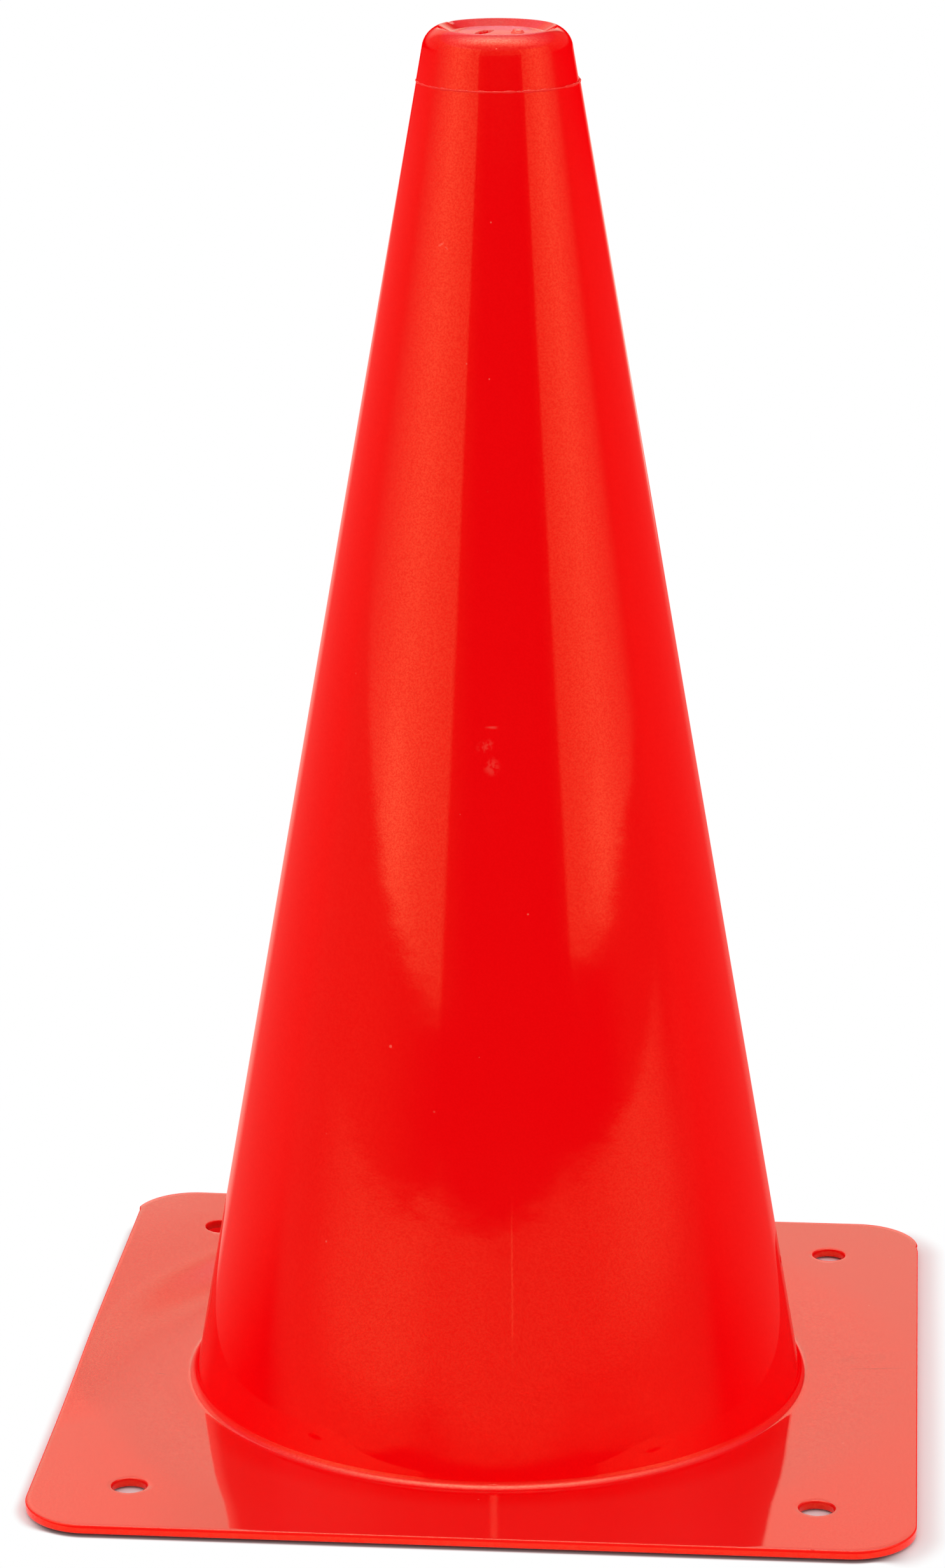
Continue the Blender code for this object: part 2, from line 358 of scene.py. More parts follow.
def give_all(tree, sockets, values):
    """Gives values to the sockets with their identifiers."""
    for socket in sockets:
        if socket.identifier in values:
            give(tree, socket, values[socket.identifier])


def new_group(kind, name, inputs, outputs):
    """A node group with named inputs and outputs of each kind, and its two end nodes."""
    tree = bpy.data.node_groups.new(name, kind + "NodeTree")
    for direction, kinds in (("INPUT", inputs), ("OUTPUT", outputs)):
        for socket, names in kinds.items():
            for name in names:
                tree.interface.new_socket(name, in_out=direction, socket_type="NodeSocket" + socket)
    return tree, tree.nodes.new("NodeGroupInput").outputs, tree.nodes.new("NodeGroupOutput").inputs


def use_group(tree, name, inputs):
    """Places a shader node group and returns its outputs."""
    return add_node(tree, "ShaderNodeGroup", inputs, node_tree=bpy.data.node_groups[name]).outputs


# Small tools for shapes


def on_circle(radius, turned, centre=(0.0, 0.0)):
    """A point on a circle."""
    return centre[0] + radius * math.cos(turned), centre[1] + radius * math.sin(turned)


def arc(centre, radius, start, end, steps):
    """Points of an arc in the plane of a profile, both ends included."""
    return [on_circle(radius, start + (end - start) * step / steps, centre) for step in range(steps + 1)]


def line(start, end, spacing):
    """Evenly spaced points on a line, both ends included."""
    steps = max(1, round(math.dist(start, end) / spacing))
    return [tuple(a + (b - a) * step / steps for a, b in zip(start, end)) for step in range(steps + 1)]


def soft_step(value, low, high):
    """A soft step from 0 to 1, as the value goes from low to high."""
    t = min(1.0, max(0.0, (value - low) / (high - low)))
    return t * t * (3 - 2 * t)


def wall_slope(mould):
    """How much the wall's radius shrinks with each unit of height."""
    crown_foot = CROWN_HIGH.x + mould.seam_step
    return (WALL_HIGH.x - crown_foot) / (CROWN_LOW.z - WALL_LOW.z)


def outer_radius(mould, z):
    """Radius of the wall's outer face at a height."""
    return WALL_HIGH.x - (z - WALL_LOW.z) * wall_slope(mould)


def inner_radius(mould, z):
    """Radius of the wall's inner face at a height."""
    return outer_radius(mould, z) - mould.wall_thickness * math.hypot(1, wall_slope(mould))


def add_object(name, mesh, material):
    """A new object in the scene with one material."""
    piece = bpy.data.objects.new(name, mesh)
    bpy.context.scene.collection.objects.link(piece)
    if material and not mesh.materials:
        mesh.materials.append(material)
    return piece


def polyline(name, points, closed=False):
    """A mesh of points in a row, as the start of a node tree."""
    mesh = bpy.data.meshes.new(name)
    count = len(points)
    edges = [(i, (i + 1) % count) for i in range(count if closed else count - 1)]
    mesh.from_pydata(points, edges, [])
    return mesh


def run_nodes(piece, tree, values):
    """Runs a node tree on a piece with the named values, and keeps the plain mesh that it gives."""
    modifier = piece.modifiers.new(tree.name, "NODES")
    modifier.node_group = tree
    for item in tree.interface.items_tree:
        if item.in_out == "INPUT" and item.name in values:
            modifier[item.identifier] = values[item.name]
    bpy.context.view_layer.update()
    evaluated = piece.evaluated_get(bpy.context.evaluated_depsgraph_get())
    mesh = bpy.data.meshes.new_from_object(evaluated)
    old = piece.data
    piece.modifiers.clear()
    piece.data = mesh
    mesh.name = piece.name
    bpy.data.meshes.remove(old)


def smooth(piece):
    """Smooth shading with crisp edges."""
    piece.data.shade_smooth()
    piece.data.set_sharp_from_angle(angle=SMOOTH_ANGLE)


def dress(piece, *nodes):
    """Seats a finished piece on its body, in place of the solids that it stands for."""
    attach(piece, BODY)
    if nodes:
        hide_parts(*nodes)


# Geometry node trees. A ridge sways and tears over these lengths, and the tear, which goes from low
# to high, makes it from thin to thick.
MADE = {"Geometry": ["Geometry"]}
RIDGE_SWAY = 0.006
RIDGE_TEAR = 0.0022
RIDGE_TEAR_RAMP = (0.3, 0.75, 0.55, 1.5)

# The least and most of a fleck's length, width and thickness, as shares of the named size and of
# the length
FLECK_SHARES = [(0.4, 1.3), (0.2, 0.5), (0.15, 0.3)]


def make_turned_tree():
    """Turns a profile round Z, and lets the wall bow slowly in and out between two heights."""
    floats = ["Wave Height", "Wave Length", "Still Below", "Still Above", "Fade", "Merge Distance"]
    inputs = {"Geometry": ["Profile"], "Int": ["Steps", "Seed"], "Float": floats}
    inputs.update({"Vector": ["Shift"], "Material": ["Material"]})
    tree, given, result = new_group("Geometry", "turned_moulding", inputs, MADE)
    count = add_node(tree, "GeometryNodeAttributeDomainSize", {0: given["Profile"]}).outputs["Point Count"]
    inputs = {"Vertices X": plus(given["Steps"], 1.0), "Vertices Y": count}
    grid = add_node(tree, "GeometryNodeMeshGrid", inputs)
    index = add_node(tree, "GeometryNodeInputIndex").outputs[0]
    column = calc("FLOOR", over(plus(index, 0.5), count))
    row = minus(index, times(column, count))
    position = add_node(tree, "GeometryNodeInputPosition").outputs[0]
    inputs = {"Geometry": given["Profile"], "Value": position, "Index": row}
    sample = add_node(tree, "GeometryNodeSampleIndex", inputs, data_type="FLOAT_VECTOR")
    place = parts_of(sample.outputs["Value"])
    angle = times(calc("FRACT", over(column, given["Steps"])), math.tau)
    outward = vector_of(tree, calc("COSINE", angle), calc("SINE", angle))
    raised = vector_calc("ADD", scaled(outward, place["X"]), vector_of(tree, z=place["Z"]))
    waves = minus(clouds(raised, given["Wave Length"], 1.0, given["Seed"]), 0.5)
    low, high, fade = given["Still Below"], given["Still Above"], given["Fade"]
    swelling = within(place["Z"], (low, plus(low, fade)), (minus(high, fade), high))
    bow = scaled(outward, times(waves, given["Wave Height"], 2.0, swelling))
    final = vector_calc("ADD", vector_calc("ADD", raised, bow), given["Shift"])
    placed = add_node(tree, "GeometryNodeSetPosition", {"Geometry": grid.outputs["Mesh"], "Position": final})
    inputs = {"Geometry": placed.outputs[0], "Distance": given["Merge Distance"]}
    merged = add_node(tree, "GeometryNodeMergeByDistance", inputs)
    finish_tree(tree, merged.outputs[0], given["Material"], result[0])


def finish_tree(tree, geometry, material, result):
    """Ends a tree with plain geometry in one material."""
    real = add_node(tree, "GeometryNodeRealizeInstances", {0: geometry})
    painted = add_node(tree, "GeometryNodeSetMaterial", {"Geometry": real.outputs[0], "Material": material})
    tree.links.new(painted.outputs[0], result)


def make_ridge_tree():
    """Runs an uneven thin ridge along a curve."""
    inputs = {"Geometry": ["Path"], "Float": ["Proud", "Height", "Wander"]}
    inputs.update({"Int": ["Seed"], "Material": ["Material"]})
    tree, given, result = new_group("Geometry", "flash_ridge", inputs, MADE)
    path = add_node(tree, "GeometryNodeMeshToCurve", {0: given["Path"]}).outputs[0]
    position = add_node(tree, "GeometryNodeInputPosition").outputs[0]
    sway = minus(clouds(position, RIDGE_SWAY, 2.0, plus(given["Seed"], 0.5)), 0.5)
    offset = vector_of(tree, z=times(sway, given["Wander"]))
    swayed = add_node(tree, "GeometryNodeSetPosition", {"Geometry": path, "Offset": offset}).outputs[0]
    tear = ramp(clouds(position, RIDGE_TEAR, 2.0, plus(given["Seed"], 7.5)), *RIDGE_TEAR_RAMP)
    circle = add_node(tree, "GeometryNodeCurvePrimitiveCircle", {"Resolution": 8, "Radius": 0.5}).outputs[0]
    size = vector_of(tree, given["Height"], times(given["Proud"], 2.0), 1.0)
    section = add_node(tree, "GeometryNodeTransform", {"Geometry": circle, "Scale": size}).outputs[0]
    inputs = {"Curve": swayed, "Profile Curve": section, "Scale": tear}
    ridge = add_node(tree, "GeometryNodeCurveToMesh", inputs)
    finish_tree(tree, ridge.outputs[0], given["Material"], result[0])


def make_fleck_tree():
    """Scatters small torn flecks along a curve."""
    inputs = {"Geometry": ["Path"], "Int": ["Places", "Seed"]}
    inputs.update({"Float": ["Share", "Size"], "Material": ["Material"]})
    tree, given, result = new_group("Geometry", "edge_flecks", inputs, MADE)
    path = add_node(tree, "GeometryNodeMeshToCurve", {0: given["Path"]}).outputs[0]
    inputs = {"Curve": path, "Count": given["Places"]}
    points = add_node(tree, "GeometryNodeCurveToPoints", inputs, mode="COUNT")

    def chance(low, high, offset):
        """A random number, its own for each place."""
        node = add_node(tree, "FunctionNodeRandomValue", data_type="FLOAT")
        values = {"Min_001": low, "Max_001": high, "Seed": plus(given["Seed"], offset)}
        give_all(tree, node.inputs, values)
        return node.outputs[1]

    chosen = calc("LESS_THAN", chance(0.0, 1.0, 0.0), given["Share"])
    fleck = add_node(tree, "GeometryNodeMeshIcoSphere", {"Radius": 0.5, "Subdivisions": 2}).outputs[0]
    size, wide, thick = (chance(*ends, i + 1.0) for i, ends in enumerate(FLECK_SHARES))
    size = times(given["Size"], size)
    inputs = {
        "Points": points.outputs["Points"],
        "Selection": chosen,
        "Instance": fleck,
        "Rotation": points.outputs["Rotation"],
        "Scale": vector_of(tree, times(size, wide), times(size, thick), size),
    }
    placed = add_node(tree, "GeometryNodeInstanceOnPoints", inputs)
    finish_tree(tree, placed.outputs[0], given["Material"], result[0])


# Finish of the plastic. A speck reaches from the second of these shares of its cell up to both
# together, and this share of it is solid. The grain's noise and a scuff's breaks run between these.
SPECK_REACH = (0.07, 0.03)
SPECK_CORE = 0.4
GRAIN_RAMP = (0.3, 0.7)
SCUFF_CORE = 0.3
SCUFF_BREAKS = (0.38, 0.6)

# For each plastic, the size of its ripples and where its pattern of specks and grain starts
PLASTICS = {
    "wall": (0.009, 0.0),
    "crown": (0.008, 0.7),
    "stub": (0.002, 3.3),
    "plate": (0.008, 1.9),
    "flash": (0.004, 2.6),
}

# How pale the torn plastic is, and what is left of the plate's gloss where other gloss shows it
STUB_HAZE = 0.65
FLASH_HAZE = 0.14
PLATE_MIRRORED = 0.4

# Spacing of the specks, and sizes of the mottle and of the grain that the tool left
SPECK_SPACING = 0.006
MOTTLE_SIZE = 0.03
TOOL_GRAIN_SIZE = 0.0011

# The plastic's red, green and blue in the deep parts of its mottle, as shares, and in its grain, as
# a share of the red and what is added to the rest
DEEP_SHARES = (0.97, 0.8, 0.8)
GRAIN_RED_SHARE = 1.05
GRAIN_ADDS = (0.0008, 0.0006)

# How strongly scuffs and dark marks show, the dark ones with the painted shade of the plate's crease,
# how much rougher the mottle, the marks and the haze are, and how much of the gloss the grain takes
MARK_SHARES = (0.4, 0.6)
ROUGHER = (0.03, 0.2, 0.25)
GRAIN_GLOSS_SHARE = 0.3


def make_surface_group():
    """Height of the moulded surface: long ripples from cooling and the fine grain of the tool."""
    inputs = {"Vector": ["Vector"], "Float": ["Ripple Size", "Ripple", "Grain Size", "Grain"]}
    tree, given, result = new_group("Shader", "moulded_surface", inputs, {"Float": ["Height"]})
    ripple = times(clouds(given["Vector"], given["Ripple Size"], 1.5), given["Ripple"])
    grain = times(clouds(given["Vector"], given["Grain Size"], 2.0), given["Grain"])
    tree.links.new(plus(ripple, grain), result[0])


def make_speck_group():
    """Mask of sparse small specks, a slow mottle and a fine grain."""
    inputs = {"Vector": ["Vector"], "Float": ["Speck Spacing", "Speck Share", "Mottle Size", "Grain Size"]}
    outputs = {"Float": ["Specks", "Mottle", "Grain"]}
    tree, given, result = new_group("Shader", "specks_and_mottle", inputs, outputs)
    inputs = {"Vector": given["Vector"], "Scale": over(1.0, given["Speck Spacing"])}
    cells = add_node(tree, "ShaderNodeTexVoronoi", inputs, feature="F1").outputs
    pick = parts_of(cells["Color"])
    chosen = calc("LESS_THAN", pick["X"], given["Speck Share"])
    reach = times_plus(pick["Y"], *SPECK_REACH)
    dot = ramp(cells["Distance"], times(reach, SPECK_CORE), reach, 1.0, 0.0)
    tree.links.new(times(chosen, dot), result["Specks"])
    tree.links.new(clouds(given["Vector"], given["Mottle Size"], 3.0), result["Mottle"])
    grain = clouds(given["Vector"], given["Grain Size"], 1.0)
    tree.links.new(ramp(grain, *GRAIN_RAMP), result["Grain"])


def make_scuff_group():
    """Mask of one smudged scuff: a soft-edged patch at a place, broken up by noise."""
    inputs = {"Vector": ["Vector", "Place", "Reach", "Turn"], "Float": ["Break Size", "Strength"]}
    tree, given, result = new_group("Shader", "scuff_at", inputs, {"Float": ["Mask"]})
    moved = vector_calc("SUBTRACT", given["Vector"], given["Place"])
    inputs = {"Vector": moved, "Rotation": given["Turn"]}
    turned = add_node(tree, "ShaderNodeVectorRotate", inputs, rotation_type="EULER_XYZ").outputs[0]
    away = vector_calc("LENGTH", vector_calc("DIVIDE", turned, given["Reach"]))
    broken = ramp(clouds(given["Vector"], given["Break Size"], 3.0), *SCUFF_BREAKS)
    tree.links.new(times(ramp(away, SCUFF_CORE, 1.0, 1.0, 0.0), broken, given["Strength"]), result[0])


# Marks on each piece: a place, how far it reaches along X, Y and Z, its turn about Y or Z in degrees,
# the size of its breaks and its strength. Pale ones are scuffs and dark ones dirty smears, except the
# plate's first dark one, which is painted shade along a crease near its right edge, and its second,
# a soft darker patch round that.
PALE_WALL = [
    ((0.0032, -0.0503, 0.2033), (0.0034, 0.004, 0.0005), (0, 0, 0), 0.0060, 0.55),
    ((0.0006, -0.0512, 0.1985), (0.0030, 0.004, 0.0020), (0, 20, 0), 0.0011, 0.36),
    ((0.0024, -0.0520, 0.1930), (0.0026, 0.004, 0.0030), (0, -15, 0), 0.0012, 0.34),
    ((-0.0130, -0.0250, 0.3270), (0.0013, 0.004, 0.0004), (0, 35, 0), 0.0060, 0.8),
    ((-0.0115, -0.0255, 0.3262), (0.0008, 0.004, 0.0003), (0, -40, 0), 0.0060, 0.7),
]
DARK_WALL = [
    ((-0.0275, -0.0764, 0.0250), (0.0005, 0.004, 0.0026), (0, 20, 0), 0.0060, 0.5),
    ((-0.0190, -0.0797, 0.0208), (0.0005, 0.004, 0.0020), (0, 25, 0), 0.0060, 0.6),
]
# The first is painted shade along a crease near the plate's right edge, the second a soft darker patch round
# it.
PLATE_SMUDGES_AND_CREASE_SHADE = [
    ((0.1043, 0.0050, 0.0025), (0.0135, 0.0006, 0.0030), (0, 0, -4.6), 0.0200, 0.9),
    ((0.1030, 0.0120, 0.0025), (0.0120, 0.0050, 0.0030), (0, 0, -12), 0.0060, 0.25),
    ((-0.0942, -0.0142, 0.0025), (0.0020, 0.0005, 0.0030), (0, 0, 8), 0.0200, 0.8),
    ((-0.1086, 0.0330, 0.0025), (0.0008, 0.0008, 0.0030), (0, 0, 0), 0.0200, 0.8),
]
PALE_CROWN = [
    ((-0.0120, -0.0060, 0.3765), (0.0030, 0.004, 0.0006), (0, 15, 0), 0.0020, 0.5),
]


def all_marks(coordinates, marks, start):
    """Mask of all the marks of a list together, over a starting mask."""
    mask = start
    for place, reach, turn_by, size, strength in marks:
        inputs = {"Vector": coordinates, "Place": place, "Reach": reach, "Break Size": size}
        inputs.update({"Turn": tuple(math.radians(a) for a in turn_by), "Strength": strength})
        mask = calc("MAXIMUM", mask, use_group(coordinates.id_data, "scuff_at", inputs)["Mask"])
    return mask


def make_plastic(kind, pale=(), dark=(), haze=0.0, mirrored=1.0, thin=None):
    """Glossy red moulded plastic, with its ripples, grain, specks, and pale and dark marks.

    Haze is a share of paleness all over, or a function that builds its mask. Mirrored is the share
    of the gloss that is left where another glossy surface shows this one. Thin is a function that
    builds the mask of the edges that light comes through.
    """
    finish = settings(bpy.context, "finish")
    ripple_size, pattern_place = PLASTICS[kind]
    material = bpy.data.materials.new(kind + "_plastic")
    material.use_nodes = True
    tree = material.node_tree
    shader = tree.nodes["Principled BSDF"]
    coordinates = add_node(tree, "ShaderNodeTexCoord").outputs["Object"]
    inputs = {"Vector": coordinates, "Location": (pattern_place, 0.0, 0.0)}
    moved = add_node(tree, "ShaderNodeMapping", inputs).outputs[0]
    inputs = {"Vector": moved, "Speck Spacing": SPECK_SPACING, "Speck Share": finish.speck_share}
    inputs.update({"Mottle Size": MOTTLE_SIZE, "Grain Size": finish.grain_size})
    pattern = use_group(tree, "specks_and_mottle", inputs)
    scuffs = all_marks(coordinates, pale, pattern["Specks"])
    # Dark marks: dirty smears, and on the plate painted shade along a crease.
    smudges_and_shade = all_marks(coordinates, dark, 0.0)
    scar = add_node(tree, "ShaderNodeAttribute", attribute_name=SCAR_ATTRIBUTE).outputs["Fac"]
    unscarred = minus(1.0, scar)
    cloud = times(haze(coordinates) if callable(haze) else haze, unscarred)

    def over_body(mask, body, colour):
        """The body's colour with another over it."""
        return mix_colour(mask, body, (*colour, 1.0))

    red, *others = finish.plastic
    deep = [part * part_share for part, part_share in zip(finish.plastic, DEEP_SHARES)]
    grained = (red * GRAIN_RED_SHARE, *(part + add for part, add in zip(others, GRAIN_ADDS)))
    body = over_body(pattern["Mottle"], (*finish.plastic, 1.0), deep)
    body = over_body(times(pattern["Grain"], finish.grain_share), body, grained)
    if thin:
        body = over_body(thin(coordinates), body, finish.lit_edge)
    body = over_body(cloud, body, finish.pale)
    body = over_body(times(scuffs, MARK_SHARES[0]), body, finish.pale)
    # Darkens the body under the dark marks, the painted crease shade among them.
    if dark:
        body = over_body(times(smudges_and_shade, MARK_SHARES[1]), body, finish.smudge_and_shade)
    give(tree, shader.inputs["Base Color"], body)

    mottled, marked, hazed = ROUGHER
    rough = times_plus(pattern["Mottle"], mottled, finish.roughness - mottled / 2)
    rough = times_plus(plus(scuffs, smudges_and_shade), marked, rough)
    give(tree, shader.inputs["Roughness"], times_plus(cloud, hazed, rough))

    inputs = {"Vector": moved, "Ripple Size": ripple_size, "Ripple": finish.ripple}
    inputs.update({"Grain Size": TOOL_GRAIN_SIZE, "Grain": finish.grain})
    height = use_group(tree, "moulded_surface", inputs)["Height"]
    bump = add_node(tree, "ShaderNodeBump", {"Height": height, "Distance": 1.0, "Strength": 1.0})
    give(tree, shader.inputs["Normal"], bump.outputs[0])
    shader.inputs["Specular Tint"].default_value = (*finish.gloss_tint, 1.0)
    lost = finish.grain_share * GRAIN_GLOSS_SHARE
    gloss = times(times_plus(pattern["Grain"], lost, 0.5 - lost / 2), unscarred)
    give(tree, shader.inputs["Specular IOR Level"], gloss)
    if mirrored < 1.0:
        path = add_node(tree, "ShaderNodeLightPath").outputs
        flat = add_node(tree, "ShaderNodeBsdfDiffuse", {"Color": body}).outputs[0]
        lost = times(path["Is Glossy Ray"], 1 - mirrored)
        both = mix_shader(lost, shader.outputs[0], flat)
        tree.links.new(both, tree.nodes["Material Output"].inputs["Surface"])
    return material


def plate_haze(coordinates):
    """A thin haze on the plate's top, past the clean ring round the foot."""
    place = parts_of(coordinates)
    ring = ramp(from_axis(place), *HAZE_RING, 0.0, HAZE_SHARE)
    return times(ring, ramp(place["Z"], PLATE_TOP * HAZE_LOW[0], PLATE_TOP * HAZE_LOW[1]))


def beyond_plate(place):
    """How far a place lies outside the plate's rounded outline."""
    radius = settings(bpy.context, "plate").corner_radius
    squares = []
    for axis in ("X", "Y"):
        past = calc("MAXIMUM", plus(calc("ABSOLUTE", place[axis]), radius - PLATE_HALF), 0.0)
        squares.append(times(past, past))
    return minus(calc("SQRT", plus(*squares)), radius)


def plate_edge(coordinates):
    """The plate's side faces."""
    return ramp(beyond_plate(parts_of(coordinates)), *EDGE_FACES)


def recess_haze(coordinates):
    """The dull, pale floor of the crown's recess."""
    place = parts_of(coordinates)
    inside = ramp(from_axis(place), *RECESS_HAZE_RING, 1.0, 0.0)
    floor = TOP - settings(bpy.context, "crown").recess_depth
    low = ramp(place["Z"], floor + RECESS_HAZE_HIGH[0], floor + RECESS_HAZE_HIGH[1], 1.0, 0.0)
    worn = ramp(place["Y"], *RECESS_HAZE_ALONG, RECESS_HAZE_SHARE, RECESS_HAZE_SHARE / 3)
    return times(inside, low, worn)


# The haze on the plate: the distances from the axis and the shares of the plate's thickness over
# which it starts, and its strength. How far inside the outline the side faces start and end.
HAZE_RING = (0.091, 0.100)
HAZE_LOW = (0.6, 0.9)
HAZE_SHARE = 0.045
EDGE_FACES = (-0.0005, -0.0001)

# The haze in the recess: the distances from the axis and the heights over its floor where it ends,
# where it wears off towards the back, and its strength
RECESS_HAZE_RING = (0.0100, 0.0115)
RECESS_HAZE_HIGH = (0.0002, 0.0006)
RECESS_HAZE_ALONG = (0.002, 0.007)
RECESS_HAZE_SHARE = 0.8


# The pieces


def turned_values(mould, material, shift=(0.0, 0.0, 0.0)):
    """Values for the tree that turns a profile."""
    return {
        "Steps": mould.steps,
        "Wave Height": mould.wave_height,
        "Wave Length": mould.wave_length,
        "Still Below": COLLAR,
        "Still Above": SEAM,
        "Fade": mould.wave_fade,
        "Seed": mould.seed,
        "Shift": shift,
        "Merge Distance": MERGE_DISTANCE,
        "Material": material,
    }


def turn(name, profile, values):
    """A piece turned round Z from a profile."""
    piece = add_object(name, polyline(name + "_profile", [(x, 0.0, z) for x, z in profile]), None)
    run_nodes(piece, bpy.data.node_groups["turned_moulding"], values)
    smooth(piece)
    return piece


def wall_profile(mould):
    """Outline of the wall's section: down its outer face and up its inner face."""
    outer = line((outer_radius(mould, SEAM), SEAM), (outer_radius(mould, COLLAR), COLLAR), mould.row)
    inner = line((inner_radius(mould, COLLAR), COLLAR), (inner_radius(mould, SEAM), SEAM), mould.row * 3)
    return outer + inner + outer[:1]


def rim_profile(mould, crown):
    """The crown's outer line: from the lip of the recess down to the parting line."""
    slope = wall_slope(mould)
    lean = math.atan(slope)
    side = outer_radius(mould, SEAM) - mould.seam_step
    centre_z = TOP - crown.rim_round
    rise = centre_z - SEAM
    centre_x = side - (crown.rim_round + rise * math.sin(lean)) / math.cos(lean)
    lip_angle = math.acos((crown.lip_radius - centre_x) / crown.rim_round)
    bend = arc((centre_x, centre_z), crown.rim_round, lip_angle, lean, 24)
    lip_centre = on_circle(-crown.lip_round, lip_angle, bend[0])
    lip = arc(lip_centre, crown.lip_round, math.pi - crown.recess_lean, lip_angle, 8)
    return lip_centre, lip[:-1] + bend + line(bend[-1], (side, SEAM), 0.0008)[1:]


def recess_profile(crown, lip_centre):
    """The recess from its middle, over its floor and wall, up to the round of its lip."""
    lean = crown.recess_lean
    floor = TOP - crown.recess_depth
    lip_x, lip_z = lip_centre
    start_x = lip_x - crown.lip_round * math.cos(lean)
    start_z = lip_z + crown.lip_round * math.sin(lean)
    slide = (start_z - floor - crown.recess_fillet * (1 - math.sin(lean))) / math.cos(lean)
    fillet_x = start_x - slide * math.sin(lean) - crown.recess_fillet * math.cos(lean)
    centre = (fillet_x, floor + crown.recess_fillet)
    fillet = arc(centre, crown.recess_fillet, math.pi * 1.5, math.tau - lean, 7)
    wall = line(fillet[-1], (start_x, start_z), 0.0005)
    return line((0.0, floor), fillet[0], 0.0003)[:-1] + fillet + wall[1:-1]


def ceiling_profile(mould, crown):
    """The crown's inner line: from the parting line up to the middle of the ceiling."""
    lean = math.atan(wall_slope(mould))
    ceiling = TOP - crown.recess_depth - crown.top_thickness
    centre_z = ceiling - crown.ceiling_round
    centre_x = inner_radius(mould, centre_z) - mould.seam_step - crown.ceiling_round / math.cos(lean)
    bend = arc((centre_x, centre_z), crown.ceiling_round, lean, math.pi / 2, 10)
    foot = (inner_radius(mould, SEAM) - mould.seam_step, SEAM)
    return [foot] + bend + line(bend[-1], (0.0, ceiling), 0.001)[1:]


# The scar in the recess floor: its middle line and the share of its full width at each point
SCAR_LINE = [(-0.0051, -0.0036), (-0.0046, -0.0014), (-0.0038, 0.0009), (-0.0030, 0.0032), (-0.0017, 0.0050)]
SCAR_WIDTH_SHARES = [0.35, 0.9, 1.0, 0.85, 0.1]
SCAR_ATTRIBUTE = "scar"

# Where the nick in the lip is, and how far it reaches
LIP_NICK = (-0.0136, 0.0082)
LIP_NICK_REACH = 0.0012

# The stub: the share of it that is flat before its round, the height of the round's end, how much
# wider its root is and how deep, its facets, and how far its top is torn up and sideways
STUB_FLAT = 0.62
STUB_SIDE = 0.2
STUB_SPREAD = 1.06
STUB_ROOT = 0.4
STUB_STEPS = 64
STUB_TEAR = (0.35, 0.12)


def scar_mask(x, y, width):
    """How deep the scar is at a point of the recess floor, as a share of its full depth."""
    deepest = 0.0
    ends = [Vector(end) for end in SCAR_LINE]
    for start, end, wide, wide_end in zip(ends, ends[1:], SCAR_WIDTH_SHARES, SCAR_WIDTH_SHARES[1:]):
        along = end - start
        out = Vector((x, y)) - start
        t = min(1.0, max(0.0, out.dot(along) / along.length_squared))
        reach = width / 2 * (wide * (1 - t) + wide_end * t)
        if reach > 0:
            deepest = max(deepest, 1 - soft_step((out - along * t).length, reach * 0.75, reach))
    return deepest


class CONE_OT_make_wall(bpy.types.Operator):
    """Makes the hollow tapered wall, from the foot fillet to the parting line"""

    bl_idname = "cone.make_wall"
    bl_label = "Cone Wall"

    def execute(self, context):
        mould = settings(context, "mould")
        values = turned_values(mould, make_plastic("wall", PALE_WALL, DARK_WALL))
        wall = turn("moulded_wall", wall_profile(mould), values)
        dress(wall, "cone_wall")
        return {"FINISHED"}


